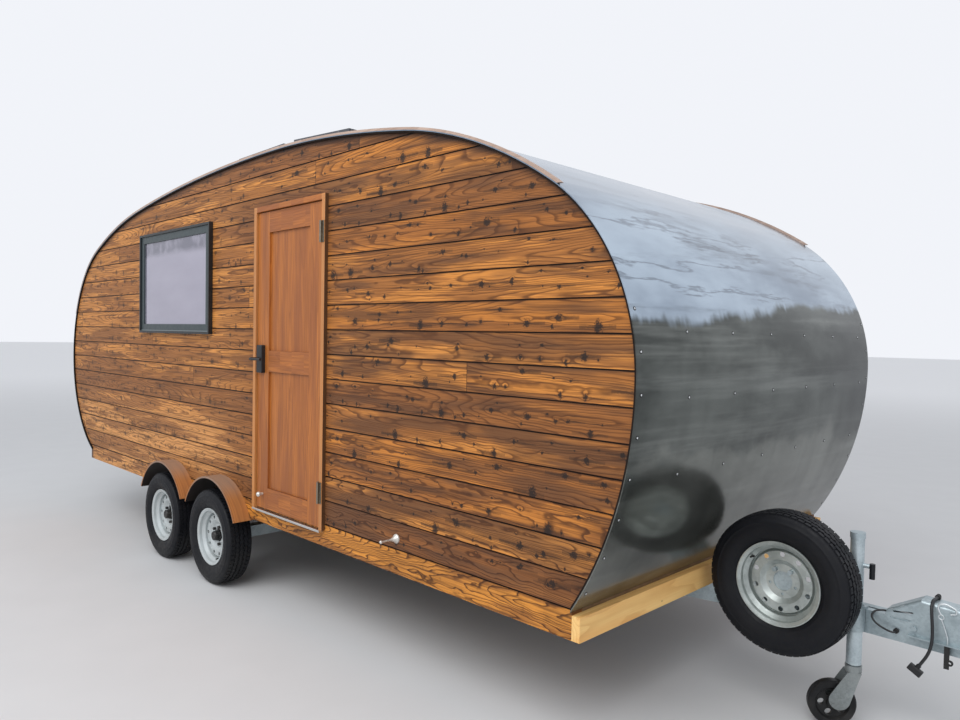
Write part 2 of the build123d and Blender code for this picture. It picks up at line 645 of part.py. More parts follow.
def hub():
    """Brake drum, barrel, cap, studs and nuts about Y. The wheel seats on it at Y = 0."""
    nose = -HUB_NOSE
    cap = nose - CAP_LENGTH
    drum_in = DRUM_RADIUS - DRUM_WALL
    bore = SPINDLE + RUNNING
    section = [(0, cap), (CAP_RADIUS - 4, cap), (CAP_RADIUS, cap + 6), (CAP_RADIUS, nose), (HUB_BARREL, nose),
               (HUB_BARREL, 0), (DRUM_RADIUS, 0), (DRUM_RADIUS, DRUM_DEPTH), (drum_in, DRUM_DEPTH),
               (drum_in, DRUM_WALL), (HUB_BARREL, DRUM_WALL), (HUB_BARREL, HUB_LENGTH), (bore, HUB_LENGTH),
               (bore, nose), (0, nose)]
    drum = revolved(section)
    for spot in PolarLocations(BOLT_CIRCLE / 2, STUDS):
        drum += Rot(90, 0, 0) * spot * Pos(0, 0, 8) * Cylinder(STUD_HOLE - 0.5, 20)
        drum += Rot(90, 0, 0) * spot * Pos(0, 0, DISC_METAL + NUT_HEIGHT / 2) * Cylinder(NUT, NUT_HEIGHT)
    return drum


# Road wheels: rear and front on each side
road_pieces = (("tyre", tyre(TYRE_RADIUS)), ("rim", rim(0)), ("hub", hub()))
for name, x in zip(("rear", "front"), AXLE_X):
    for kind, piece in road_pieces:
        near = Pos(x, -WHEEL_Y, WHEEL_Z) * piece
        parts[f"{kind}_{name}_door_side"] = near
        parts[f"{kind}_{name}_far_side"] = far(near)

# Axles: a square tube under the rails, trailing arms, backplates and spindles
arm_y = WHEEL_Y - TYRE_HALF - TYRE_ROOM
arm_in = arm_y - ARM
plate_y = WHEEL_Y - BACKPLATE_OUT
spindle_y = WHEEL_Y + HUB_NOSE - LEAF_GAP
for name, x in zip(("rear", "front"), AXLE_X):
    tube_x = x + AXLE_AHEAD
    tube_z = FLOOR_BOTTOM - RAIL_HEIGHT - AXLE_TUBE / 2
    half_tube = AXLE_TUBE / 2
    axle = block(tube_x - half_tube, tube_x + half_tube, -arm_in, arm_in, tube_z - half_tube, tube_z + half_tube)
    arm = Polyline((x, WHEEL_Z + ARM_END), (tube_x, tube_z + ARM_EYE), (tube_x, tube_z - ARM_EYE),
                   (x, WHEEL_Z - ARM_END), close=True)
    one = slab(make_face(arm), -arm_y, -arm_in)
    one += rod((tube_x, -arm_y, tube_z), (tube_x, -arm_in, tube_z), ARM_EYE + RIM_METAL)
    one += rod((x, -arm_in, WHEEL_Z), (x, -plate_y, WHEEL_Z), HUB_BARREL)
    one += rod((x, -plate_y + DISC_METAL, WHEEL_Z), (x, -plate_y, WHEEL_Z), BACKPLATE)
    one += rod((x, -plate_y, WHEEL_Z), (x, -spindle_y, WHEEL_Z), SPINDLE)
    parts[f"axle_{name}"] = axle + one + far(one)


def rail_half(x):
    """Half width at the outside of the rails' webs."""
    for (x0, y0, _), (x1, y1, _) in zip(RAIL, RAIL[1:]):
        if x <= x1:
            return y0 + (y1 - y0) * (x - x0) / (x1 - x0)


# Chassis rails: a channel along each stretch, its web outside
channel = None
for (x0, y0, z0), (x1, y1, z1) in zip(RAIL, RAIL[1:]):
    sections = []
    for x, y, z in ((x0, y0, z0), (x1, y1, z1)):
        web, lip_y, low = -y + RAIL_METAL, -y + RAIL_FLANGE, z - RAIL_HEIGHT
        points = [(-y, z), (lip_y, z), (lip_y, z - RAIL_METAL), (web, z - RAIL_METAL),
                  (web, low + RAIL_METAL), (lip_y, low + RAIL_METAL), (lip_y, low), (-y, low)]
        sections.append(Plane.YZ.offset(x) * make_face(Polyline(*points, close=True)))
    stretch = loft(sections, ruled=True)
    channel = stretch if channel is None else channel + stretch
parts["rail_door_side"] = channel
parts["rail_far_side"] = far(channel)

# Crossmembers between the rails
cross = []
cross_x0 = RAIL_REAR + CROSS_WIDTH
cross_step = (FLOOR_LENGTH - CROSS_INSET - cross_x0) / (CROSSMEMBERS - 1)
cross_top = FLOOR_BOTTOM - RAIL_METAL
for n in range(CROSSMEMBERS):
    x = cross_x0 + n * cross_step
    half = rail_half(x + CROSS_WIDTH) - RAIL_METAL - GAP
    cross.append(block(x, x + CROSS_WIDTH, -half, half, cross_top - CROSS_HEIGHT, cross_top))
parts["crossmembers"] = Compound(cross)

# Jack clamp: a sleeve welded to a plate on the near rail, with a gusset over the rail's top
jack_x = BALL_X - JACK_BACK
jack_y = -NOSE_HALF - JACK_OUT - JACK_TUBE
clamp_z = NOSE_TOP - CLAMP_DROP, NOSE_TOP + CLAMP_RISE
clamp_r = JACK_TUBE + RUNNING + CLAMP_WALL
rail_y = -rail_half(jack_x - CLAMP_HALF) - GAP
clamp = rod((jack_x, jack_y, clamp_z[0]), (jack_x, jack_y, clamp_z[1]), clamp_r)
clamp += block(jack_x - CLAMP_HALF, jack_x + CLAMP_HALF, jack_y, rail_y, clamp_z[0], NOSE_TOP)
gusset = Polyline((jack_y, clamp_z[1]), (rail_y, NOSE_TOP + 3 * CLAMP_WALL), (-CLAMP_WALL, NOSE_TOP + CLAMP_WALL),
                  (-CLAMP_WALL, NOSE_TOP + GAP), (jack_y, NOSE_TOP + GAP), close=True)
clamp += extrude(Plane.YZ.offset(jack_x - CLAMP_HALF) * make_face(gusset), amount=2 * CLAMP_HALF)
clamp -= rod((jack_x, jack_y, clamp_z[0] - 1), (jack_x, jack_y, clamp_z[1] + 1), JACK_TUBE + RUNNING)
parts["jack_clamp"] = clamp

# Jack: the outer tube in two diameters, its cap and a folded crank
outer = rod((jack_x, jack_y, JACK_BOTTOM), (jack_x, jack_y, JACK_STEP), JACK_TUBE)
outer += rod((jack_x, jack_y, JACK_STEP), (jack_x, jack_y, JACK_TOP), JACK_UPPER)
outer += rod((jack_x, jack_y, JACK_TOP - JACK_CAP), (jack_x, jack_y, JACK_TOP), JACK_TUBE)
outer -= rod((jack_x, jack_y, JACK_BOTTOM - 1), (jack_x, jack_y, JACK_TOP - 2 * JACK_CAP), JACK_BORE + RUNNING)
crank_r = JACK_UPPER / 3
elbow = (jack_x + CRANK_REACH, jack_y, CRANK_UP)
outer += rod((jack_x + JACK_UPPER - 2, jack_y, CRANK_UP), elbow, crank_r)
outer += rod((elbow[0], jack_y, CRANK_UP + 1.4 * crank_r), (elbow[0], jack_y, CRANK_UP - CRANK_GRIP), 1.2 * crank_r)
parts["jack_tube"] = outer
parts["jack_inner"] = rod((jack_x, jack_y, FORK_PLATE), (jack_x, jack_y, INNER_TOP), JACK_BORE)


def tangent(point, centre, radius, side):
    """Where a line from a point touches a circle, on its left (1) or right (-1)."""
    away = Vector(*point) - Vector(*centre)
    swing = degrees(acos(radius / away.length))
    return polar(centre, radius, degrees(atan2(away.Y, away.X)) + side * swing)


# Jockey fork: a collar on the inner tube and two lobed cheeks, turned to where they stand
heading = Pos(jack_x, jack_y, 0) * Rot(0, 0, FORK_HEADING)
fork = rod((0, 0, FORK_PLATE), (0, 0, FORK_TOP), FORK_COLLAR)
fork -= rod((0, 0, FORK_PLATE - 1), (0, 0, FORK_TOP + 1), JACK_BORE + RUNNING)
cheek_in = JOCKEY_HALF + CHEEK_ROOM
cheek_out = cheek_in + FORK_METAL
lobe_x, lobe_z, lobe_r = CHEEK_LOBE
neck_left, neck_right = (-JACK_BORE, FORK_PLATE), (JACK_TUBE, FORK_PLATE)
cheek = make_face(Polyline(neck_left, neck_right, tangent(neck_right, (lobe_x, lobe_z), lobe_r, -1),
                           tangent(neck_left, (lobe_x, lobe_z), lobe_r, 1), close=True))
cheek += Pos(lobe_x, lobe_z) * Circle(lobe_r)
for y0, y1 in ((-cheek_out, -cheek_in), (cheek_in, cheek_out)):
    fork += slab(cheek, y0, y1)
fork += block(-JACK_BORE, JACK_TUBE, -cheek_out, cheek_out, FORK_PLATE - FORK_METAL, FORK_PLATE)
axle_end = cheek_out + FORK_METAL
fork += rod((FORK_TRAIL, -axle_end, JOCKEY_RADIUS), (FORK_TRAIL, axle_end, JOCKEY_RADIUS), JOCKEY_AXLE)
parts["jockey_fork"] = heading * fork

# Jockey wheel: tyre, thin web with windows, and hub in one
hub_r = 2.5 * JOCKEY_AXLE
web_r = JOCKEY_RADIUS - 34
section = [(JOCKEY_AXLE + RUNNING, JOCKEY_HALF), (hub_r, JOCKEY_HALF), (hub_r + 4, JOCKEY_WEB), (web_r, JOCKEY_WEB),
           (web_r + 6, JOCKEY_HALF - 2), (JOCKEY_RADIUS - 6, JOCKEY_HALF), (JOCKEY_RADIUS, JOCKEY_HALF - 8)]
jockey = revolved([(r, -y) for r, y in section] + [(r, y) for r, y in reversed(section)])
for spot in PolarLocations(WINDOW_CIRCLE, JOCKEY_WINDOWS):
    jockey -= Rot(90, 0, 0) * spot * Cylinder(WINDOW_HOLE, 4 * JOCKEY_WEB)
parts["jockey_wheel"] = heading * Pos(FORK_TRAIL, 0, JOCKEY_RADIUS) * jockey

# Coupler housing: a pressed channel over the rails' nose with slots, flanges, bolts and a front collar
inside_y = NOSE_HALF + GAP
outside_y = inside_y + HOUSING_METAL
front_x = BALL_X - HOUSING_BACK
rear_x = front_x - HOUSING_LENGTH
peak_x = rear_x + HOUSING_PEAK
peak_z = NOSE_TOP + HOUSING_TOP
front_z = peak_z - HOUSING_FALL
rear_z = NOSE_TOP + HOUSING_LIP
bottom_z = NOSE_TOP - HOUSING_DROP
profile = Polyline((rear_x, rear_z), (peak_x, peak_z), (front_x, front_z), (front_x, bottom_z),
                   (rear_x + FLANGE_BACK, bottom_z), (rear_x, NOSE_TOP - HOUSING_FOOT), close=True)
housing = slab(make_face(profile), -outside_y, outside_y)
ridges = [edge for edge in housing.edges().filter_by(Plane.XZ)
          if edge.center().Z > rear_z and abs(edge.center().Y) > inside_y]
housing = fillet([edge for edge in ridges if abs((edge % 0).X) > 0.5], HOUSING_BEND)
rise = (peak_z - rear_z) / HOUSING_PEAK
inner_top = peak_z - HOUSING_METAL
cavity = Polyline((rear_x - HOUSING_PEAK, inner_top - 2 * HOUSING_PEAK * rise), (peak_x, inner_top),
                  (front_x - 2 * HOUSING_METAL, front_z - HOUSING_METAL), (front_x - 2 * HOUSING_METAL, 0),
                  (rear_x - HOUSING_PEAK, 0), close=True)
housing -= slab(make_face(cavity), -inside_y, inside_y)
housing -= block(front_x - 3 * HOUSING_METAL, front_x + 1, -NECK_HALF - GAP, NECK_HALF + GAP, 0, NOSE_TOP + 15)
for y0, y1 in ((-outside_y - FLANGE_WIDTH, -inside_y), (inside_y, outside_y + FLANGE_WIDTH)):
    housing += block(rear_x + FLANGE_BACK, front_x, y0, y1, bottom_z, bottom_z + HOUSING_METAL)
slots = ((62, NOSE_TOP + 28, 75, 8), (55, NOSE_TOP - 2, 78, 2))  # middle from the rear edge, z, length, lean
for along, z, length, lean in slots:
    slot = Pos(rear_x + along, z) * Rot(0, 0, lean) * SlotOverall(length, 7)
    housing -= slab(slot, -outside_y - 1, outside_y + 1)
for x in (rear_x + 105, front_x - 50):
    for y0, y1 in ((-outside_y - 8, -outside_y), (outside_y, outside_y + 8)):
        housing += rod((x, y0, NOSE_TOP - 27), (x, y1, NOSE_TOP - 27), NUT)
parts["coupler_housing"] = housing

# Ball head: a square neck, a domed cup and the latch's lever on top
head_x = BALL_X, 0
socket_low = BALL_Z - SOCKET_SKIRT
socket_high = BALL_Z + 20
dome = SOCKET + HEAD_WALL
head = block(front_x - 2 * HOUSING_METAL, BALL_X, -NECK_HALF, NECK_HALF, BALL_Z + 4, NOSE_TOP + 15 - GAP)
head = fillet(head.edges().filter_by(Axis.X), 8)
head += rod((*head_x, socket_low), (*head_x, socket_high), dome)
head += rod((*head_x, socket_low), (*head_x, BALL_Z + 4), HEAD_RADIUS)
head += Pos(*head_x, socket_high) * Sphere(dome)
head -= rod((*head_x, 0), (*head_x, socket_low), HEAD_RADIUS + 1)
head -= rod((*head_x, 0), (*head_x, socket_high), SOCKET)
head -= Pos(*head_x, socket_high) * Sphere(SOCKET)
latch_z = NOSE_TOP + 10
latch = Polyline((BALL_X - 25, latch_z), (BALL_X - 62, latch_z + 42), (BALL_X - 150, latch_z + 62),
                 (BALL_X - 153, latch_z + 52), (BALL_X - 75, latch_z + 28), (BALL_X - 95, latch_z), close=True)
head += slab(make_face(latch), -12, 12)
parts["coupler_head"] = head

# Spare wheel on its carrier, upright beside the rails
spare_x = FLOOR_LENGTH + SPARE_AHEAD
spare_y = -SPARE_OUT
spare_z = FLOOR_BOTTOM + SPARE_UP
spare = Pos(spare_x, spare_y, spare_z)
parts["spare_tyre"] = spare * tyre(TYRE_RADIUS + SPARE_GROWTH)
parts["spare_rim"] = spare * rim(SPARE_TURN)
bracket = block(spare_x - CARRIER_HALF, spare_x + CARRIER_HALF, spare_y, spare_y + CARRIER_METAL,
                spare_z - CARRIER_BOTTOM, spare_z + CARRIER_TOP)
bracket += block(spare_x - CARRIER_ARM, spare_x + CARRIER_ARM, spare_y + CARRIER_METAL,
                 -rail_half(spare_x - CARRIER_ARM) - GAP, spare_z - CARRIER_BOTTOM - 16, spare_z - CARRIER_BOTTOM + 19)
for number, spot in enumerate(PolarLocations(BOLT_CIRCLE / 2, STUDS, start_angle=SPARE_TURN)):
    if number in (1, 2):
        bracket += spare * Rot(90, 0, 0) * spot * Pos(0, 0, 4) * Cylinder(STUD_HOLE - 0.5, 26)
        bracket += spare * Rot(90, 0, 0) * spot * Pos(0, 0, DISC_METAL + NUT_HEIGHT / 2) * Cylinder(NUT, NUT_HEIGHT)
parts["spare_bracket"] = bracket


def cord(name, points, radius):
    """A round cord along straight runs that are joined by arcs as large as the runs allow."""
    radii = []
    for before, here, after in zip(points, points[1:], points[2:]):
        back = Vector(*before) - Vector(*here)
        ahead = Vector(*after) - Vector(*here)
        turn = 180 - back.get_angle(ahead)
        radii.append(0.45 * min(back.length, ahead.length) / tan(radians(turn / 2)))
    path = FilletPolyline(*points, radius=radii)
    tube = sweep(Plane(path @ 0, z_dir=path % 0) * Circle(radius), path=path)
    print(name, "length", round(path.length, 1), "radii", [round(r) for r in radii])
    print(name, "volume over section times length", round(tube.volume / (pi * radius ** 2 * path.length), 4))
    return tube


def housing_top(x):
    """Height of the coupler housing's top ahead of its peak."""
    return peak_z - HOUSING_FALL * (x - peak_x) / (front_x - peak_x)


# Wiring cable: out of a boot on the housing, over its near edge and down to a plug
BOOT_BACK = 358  # boot behind the ball
boot_x = BALL_X - BOOT_BACK
boot_z = housing_top(boot_x) + BOOT_RADIUS + GAP
CABLE = [
    (boot_x, 16, boot_z),
    (boot_x, -8, boot_z),
    (boot_x - 1, -34, boot_z + 1),
    (boot_x - 1, -57, boot_z - 7),
    (boot_x + 1, -69, boot_z - 30),
    (boot_x + 6, -76, boot_z - 68),
    (boot_x + 10, -80, boot_z - 116),
    (boot_x + 10, -84, boot_z - 156),
    (boot_x + 2, -86, boot_z - 194),
    (boot_x - 12, -87, boot_z - 226),
    (boot_x - 30, -88, boot_z - 256),
]
parts["wiring_cable"] = cord("wiring cable", CABLE, CABLE_RADIUS)
end, before = Vector(*CABLE[-1]), Vector(*CABLE[-2])
along = (end - before).normalized()
plug_at = Plane(end, x_dir=along.cross(Vector(0, 1, 0)), z_dir=along)
plug = Pos(0, 0, PLUG_NECK / 2) * Cylinder(CABLE_RADIUS + 3, PLUG_NECK)
plug += fillet((Pos(0, 0, PLUG_NECK + PLUG_SIZE[2] / 2) * Box(*PLUG_SIZE)).edges(), 4)
for x in (-18, -6, 6, 18):
    plug -= Pos(x, 0, PLUG_NECK + PLUG_SIZE[2] - 4) * Cylinder(2.5, 8.1)
parts["wiring_plug"] = plug_at * plug

# Brake lead: from under the housing's rear lip, round and back into a grommet in the rail's web
GROMMET_AHEAD, GROMMET_DOWN = 40, 55  # grommet from the housing's rear top corner
grommet_at = rear_x + GROMMET_AHEAD, NOSE_TOP - GROMMET_DOWN
web_y = -NOSE_HALF - GAP
LEAD = [
    (rear_x + 60, -12, NOSE_TOP + 9),
    (rear_x + 20, -20, NOSE_TOP + 10),
    (rear_x - 18, -30, NOSE_TOP + 12),
    (rear_x - 44, -48, NOSE_TOP + 6),
    (rear_x - 53, -60, NOSE_TOP - 14),
    (rear_x - 38, -65, NOSE_TOP - 34),
    (rear_x - 8, -68, NOSE_TOP - 49),
    (grommet_at[0] - 16, -74, grommet_at[1]),
    (grommet_at[0], -72, grommet_at[1]),
    (grommet_at[0], web_y - GROMMET_OUT, grommet_at[1]),
]
parts["brake_lead"] = cord("brake lead", LEAD, LEAD_RADIUS)

# Rubber fittings: the cable's boot, the lead's grommet and a holding strap under the flange
boot = rod((boot_x, 16, boot_z), (boot_x, 40, boot_z), BOOT_RADIUS)
boot += block(boot_x - BOOT_RADIUS, boot_x + BOOT_RADIUS, 20, 40, housing_top(boot_x - BOOT_RADIUS) + GAP, boot_z)
grommet = rod((grommet_at[0], web_y, grommet_at[1]), (grommet_at[0], web_y - GROMMET_OUT, grommet_at[1]),
              GROMMET_RADIUS)
STRAP_BACK = 302  # strap behind the ball
strap_x = BALL_X - STRAP_BACK
strap_y = -outside_y - FLANGE_WIDTH / 2
strap = block(strap_x - 9, strap_x + 9, strap_y - 3, strap_y + 3, bottom_z - 92, bottom_z)
strap += rod((strap_x + 12, strap_y - 4, bottom_z - 66), (strap_x + 12, strap_y + 4, bottom_z - 66), 11)
strap -= rod((strap_x + 12, strap_y - 5, bottom_z - 66), (strap_x + 12, strap_y + 5, bottom_z - 66), 5)
parts["rubber_fittings"] = Compound([boot, grommet, strap])

# Tether: a bent hook over the housing's edge, its ring, and a wire down to the flange
bar = 3.5
wire = 2.5
hook_y = -outside_y - bar - GAP
RING_BACK, RING_UP = 327, 47  # ring from the ball's centre and the rails' top
ring_x, ring_z = BALL_X - RING_BACK, NOSE_TOP + RING_UP
HOOK = [
    (ring_x - 1, hook_y, ring_z + 9),
    (ring_x - 12, hook_y, ring_z + 30),
    (ring_x - 10, hook_y, ring_z + 48),
    (ring_x + 14, hook_y, ring_z + 56),
    (ring_x + 50, hook_y, ring_z + 42),
    (ring_x + 52, hook_y, ring_z + 24),
    (ring_x + 32, hook_y, ring_z + 18),
]
WIRE = [
    (ring_x + 1, hook_y, ring_z - 9),
    (ring_x + 14, hook_y - 2, ring_z - 42),
    (ring_x + 26, hook_y - 6, ring_z - 78),
    (ring_x + 26, hook_y - 6, bottom_z + HOUSING_METAL),
]
tether = cord("hook", HOOK, bar) + cord("wire", WIRE, wire)
tether += Pos(ring_x, hook_y, ring_z) * Rot(90, 0, 0) * Torus(9, wire)
parts["tether_hook"] = tether

os.makedirs("parts", exist_ok=True)
for name, shape in parts.items():
    export_step(Pos(-X_MID, 0, 0) * shape, f"parts/{name}.step")
print(len(parts), "nodes, middle at", X_MID)
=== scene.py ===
from math import cos, pi, radians, sin

import bmesh
import bpy
from mathutils import Matrix, Vector


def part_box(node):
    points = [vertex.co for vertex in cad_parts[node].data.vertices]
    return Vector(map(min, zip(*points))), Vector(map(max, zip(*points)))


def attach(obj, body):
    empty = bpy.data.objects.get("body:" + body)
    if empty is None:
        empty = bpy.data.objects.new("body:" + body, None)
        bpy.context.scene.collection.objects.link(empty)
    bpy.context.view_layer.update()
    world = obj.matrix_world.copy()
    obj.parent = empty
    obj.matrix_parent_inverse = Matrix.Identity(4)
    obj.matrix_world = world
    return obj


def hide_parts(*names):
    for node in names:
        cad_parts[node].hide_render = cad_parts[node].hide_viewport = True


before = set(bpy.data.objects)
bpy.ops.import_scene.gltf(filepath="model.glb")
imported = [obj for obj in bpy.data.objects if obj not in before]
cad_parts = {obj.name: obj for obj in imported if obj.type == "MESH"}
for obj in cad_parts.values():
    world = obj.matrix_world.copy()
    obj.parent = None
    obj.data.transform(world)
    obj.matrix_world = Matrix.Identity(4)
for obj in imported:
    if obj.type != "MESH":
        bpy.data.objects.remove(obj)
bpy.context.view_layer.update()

scene = bpy.context.scene
scene.view_settings.view_transform = "Standard"


# Camera: a wide lens at eye height, 2.6 m off the body's front corner on the door's side. The camper
# is seen along its whole door side and across its front, with the wheels at the left.
CAMERA_AT = (3.953, -3.383, 1.614)
LENS = 27.77
azimuth, elevation, roll = radians(44.964), radians(1.86), radians(1.068)
camera = bpy.data.objects.new("camera", bpy.data.cameras.new("camera"))
camera.data.sensor_width = 36
camera.data.lens = LENS
camera.data.clip_end = 200
back = Vector((sin(azimuth) * cos(elevation), -cos(azimuth) * cos(elevation), sin(elevation)))
right = Vector((cos(azimuth), sin(azimuth), 0))
up = back.cross(right)
turned_right = cos(roll) * right + sin(roll) * up
turned_up = cos(roll) * up - sin(roll) * right
camera.matrix_world = Matrix.Translation(CAMERA_AT) @ Matrix(
    (turned_right, turned_up, back)).transposed().to_4x4()
scene.collection.objects.link(camera)
scene.camera = camera


# Studio: a pale floor that runs to the horizon, an even pale sky and one large soft lamp over the
# door side. The sky is a little brighter to the camera and in reflections than as a light.
def tone(red, green, blue):
    """Linear colour from the values that a screen shows, each 0 to 255."""
    shown = [value / 255 for value in (red, green, blue)]
    return tuple(v / 12.92 if v <= 0.04 else ((v + 0.055) / 1.055) ** 2.4 for v in shown) + (1,)


def feed(tree, inputs, sockets):
    """Gives each input its value, or joins it to another node's socket."""
    for key, value in sockets.items():
        if isinstance(value, bpy.types.NodeSocket):
            tree.links.new(value, inputs[key])
        else:
            inputs[key].default_value = value


def add(tree, kind, sockets=None, **settings):
    """A node with its settings and inputs."""
    made = tree.nodes.new(kind)
    for key, value in settings.items():
        setattr(made, key, value)
    feed(tree, made.inputs, sockets or {})
    return made


def axes(tree, place):
    """X, Y and Z of a place."""
    return add(tree, "ShaderNodeSeparateXYZ", {0: place}).outputs


def calc(tree, operation, first, second=0.5, third=0.5):
    """Output of a Math node."""
    return add(tree, "ShaderNodeMath", {0: first, 1: second, 2: third}, operation=operation).outputs[0]


def ramp(tree, value, low, high, start=0.0, end=1.0):
    """Value brought smoothly from the range low..high to start..end."""
    sockets = {"Value": value, "From Min": low, "From Max": high, "To Min": start, "To Max": end}
    return add(tree, "ShaderNodeMapRange", sockets, interpolation_type="SMOOTHSTEP").outputs[0]


def blend(tree, amount, first, second, kind="MIX"):
    """Colour between two colours."""
    sockets = {0: amount, 6: first, 7: second}
    return add(tree, "ShaderNodeMix", sockets, data_type="RGBA", blend_type=kind).outputs[2]


def noise(tree, place, scale, detail=2.0, rough=0.5):
    """Noise over a place, from 0 to 1."""
    sockets = {"Vector": place, "Scale": scale, "Detail": detail, "Roughness": rough}
    return add(tree, "ShaderNodeTexNoise", sockets).outputs[0]


def finish(name):
    """A new material: its tree, its Principled BSDF and the object's own coordinates."""
    material = bpy.data.materials.new(name)
    material.use_nodes = True
    tree = material.node_tree
    shader = tree.nodes["Principled BSDF"]
    place = add(tree, "ShaderNodeTexCoord").outputs["Object"]
    return material, tree, shader, place


def put(tree, shader, **sockets):
    """Feeds the shader's inputs, whose names have underscores here."""
    feed(tree, shader.inputs, {key.replace("_", " "): value for key, value in sockets.items()})


FLOOR_HALF = 90
FLOOR_FADES = 6, 26
floor_mesh = bpy.data.meshes.new("studio_floor")
floor_mesh.from_pydata([(FLOOR_HALF * x, FLOOR_HALF * y, 0) for x, y in ((-1, -1), (1, -1), (1, 1), (-1, 1))],
                       [], [(0, 1, 2, 3)])
studio_floor = bpy.data.objects.new("studio_floor", floor_mesh)
scene.collection.objects.link(studio_floor)
material, tree, shader, place = finish("studio_floor")
speck = noise(tree, place, 3.0, 4.0)
far_off = add(tree, "ShaderNodeVectorMath", {0: place}, operation="LENGTH").outputs["Value"]
near = blend(tree, speck, tone(210, 211, 212), tone(216, 217, 218))
put(tree, shader, Roughness=0.85,
    Base_Color=blend(tree, ramp(tree, far_off, *FLOOR_FADES), near, tone(248, 249, 250)))
floor_mesh.materials.append(material)

SKY_LIGHTS, SKY_SHOWS = 0.72, 0.95
world = bpy.data.worlds.new("studio")
scene.world = world
world.use_nodes = True
tree = world.node_tree
path = add(tree, "ShaderNodeLightPath").outputs
seen = calc(tree, "MAXIMUM", calc(tree, "MAXIMUM", path["Is Camera Ray"], path["Is Glossy Ray"]),
            path["Is Transmission Ray"])
feed(tree, tree.nodes["Background"].inputs, {"Color": (0.93, 0.95, 1.0, 1)})
upward = axes(tree, add(tree, "ShaderNodeTexCoord").outputs["Generated"])["Z"]
mirrored = ramp(tree, upward, 0.0, 0.3, 0.70, SKY_SHOWS)
bright = add(tree, "ShaderNodeMix", {0: path["Is Glossy Ray"], 2: SKY_SHOWS, 3: mirrored}).outputs[0]
strength = add(tree, "ShaderNodeMix", {0: seen, 2: SKY_LIGHTS, 3: bright}).outputs[0]
feed(tree, tree.nodes["Background"].inputs, {"Strength": strength})

LAMP_AT, LAMP_AIM = Vector((2.5, -6.5, 7.5)), Vector((0, 0, 1))
lamp = bpy.data.objects.new("soft_lamp", bpy.data.lights.new("soft_lamp", "AREA"))
lamp.data.shape = "RECTANGLE"
lamp.data.size, lamp.data.size_y = 9, 6
lamp.data.energy = 520
lamp.matrix_world = Matrix.Translation(LAMP_AT) @ (
    (LAMP_AT - LAMP_AIM).to_track_quat("Z", "Y").to_matrix().to_4x4())
scene.collection.objects.link(lamp)


# Chassis: hot-dip galvanised channel rails, crossmembers and torsion axles, welded and bolted
# under the floor, with the jack's clamp, the coupler housing and the spare wheel's carrier.
def times(tree, first, second):
    """Product of two values."""
    return calc(tree, "MULTIPLY", first, second)


def plus(tree, first, second):
    """Sum of two values."""
    return calc(tree, "ADD", first, second)


def minus(tree, first, second):
    """First value less the second."""
    return calc(tree, "SUBTRACT", first, second)


def bump(tree, height, distance, strength=1.0):
    """Normal of a relief whose full height is the distance, in metres."""
    sockets = {"Height": height, "Distance": distance, "Strength": strength}
    return add(tree, "ShaderNodeBump", sockets).outputs[0]


def give(material, *names):
    """A finish for CAD nodes."""
    for name in names:
        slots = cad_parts[name].data.materials
        slots.clear()
        slots.append(material)


def group(name, inputs, outputs):
    """An empty shader node group with named sockets."""
    tree = bpy.data.node_groups.new(name, "ShaderNodeTree")
    for label, value in inputs.items():
        kind = "NodeSocketVector" if isinstance(value, tuple) else "NodeSocketFloat"
        tree.interface.new_socket(name=label, in_out="INPUT", socket_type=kind).default_value = value
    for label in outputs:
        tree.interface.new_socket(name=label, in_out="OUTPUT", socket_type="NodeSocketFloat")
    return tree, tree.nodes.new("NodeGroupInput").outputs, tree.nodes.new("NodeGroupOutput").inputs


def use(tree, shared, sockets):
    """Outputs of a shared group placed in a material."""
    return add(tree, "ShaderNodeGroup", sockets, node_tree=shared).outputs


# Road dust: settles in soft patches, thicker towards the ground
tree, given, results = group(
    "road_dust", {"Place": (0, 0, 0), "Amount": 0.3, "Height": 0.6}, ["Dust", "Grime"])
road_dust = tree
patches = noise(tree, given["Place"], 7.0, 5.0, 0.6)
fine = noise(tree, given["Place"], 60.0, 3.0, 0.6)
height = axes(tree, given["Place"])["Z"]
low = minus(tree, 1.2, calc(tree, "DIVIDE", height, given["Height"]))
low = calc(tree, "MAXIMUM", low, 0.25)
dust = times(tree, ramp(tree, patches, 0.35, 0.75), times(tree, low, given["Amount"]))
feed(tree, results, {"Dust": dust, "Grime": ramp(tree, fine, 0.3, 0.7)})


def galvanised(name, bright, dull, flake):
    """Zinc with its crystal flakes, each a little lighter or darker."""
    material, tree, shader, place = finish(name)
    cells = add(tree, "ShaderNodeTexVoronoi", {"Vector": place, "Scale": flake})
    shade = add(tree, "ShaderNodeSeparateColor", {0: cells.outputs["Color"]}).outputs[0]
    cloudy = noise(tree, place, 9.0, 4.0)
    mixed = plus(tree, times(tree, shade, 0.14), times(tree, cloudy, 0.86))
    dirt = use(tree, road_dust, {"Place": place, "Amount": 0.2, "Height": 0.5})
    colour = blend(tree, ramp(tree, mixed, 0.2, 0.8), dull, bright)
    put(tree, shader, Metallic=0.6, Roughness=ramp(tree, mixed, 0.2, 0.8, 0.5, 0.34),
        Base_Color=blend(tree, dirt["Dust"], colour, tone(120, 116, 108)),
        Normal=bump(tree, plus(tree, shade, dirt["Grime"]), 0.00008))
    return material


zinc = galvanised("galvanised_steel", tone(182, 195, 199), tone(142, 155, 160), 110.0)
give(zinc, "rail_door_side", "rail_far_side", "crossmembers", "axle_rear", "axle_front", "jack_clamp",
     "coupler_housing", "coupler_head", "spare_bracket", "jack_inner")
tube_zinc = galvanised("galvanised_tube", tone(204, 216, 220), tone(160, 174, 180), 150.0)
give(tube_zinc, "jack_tube")

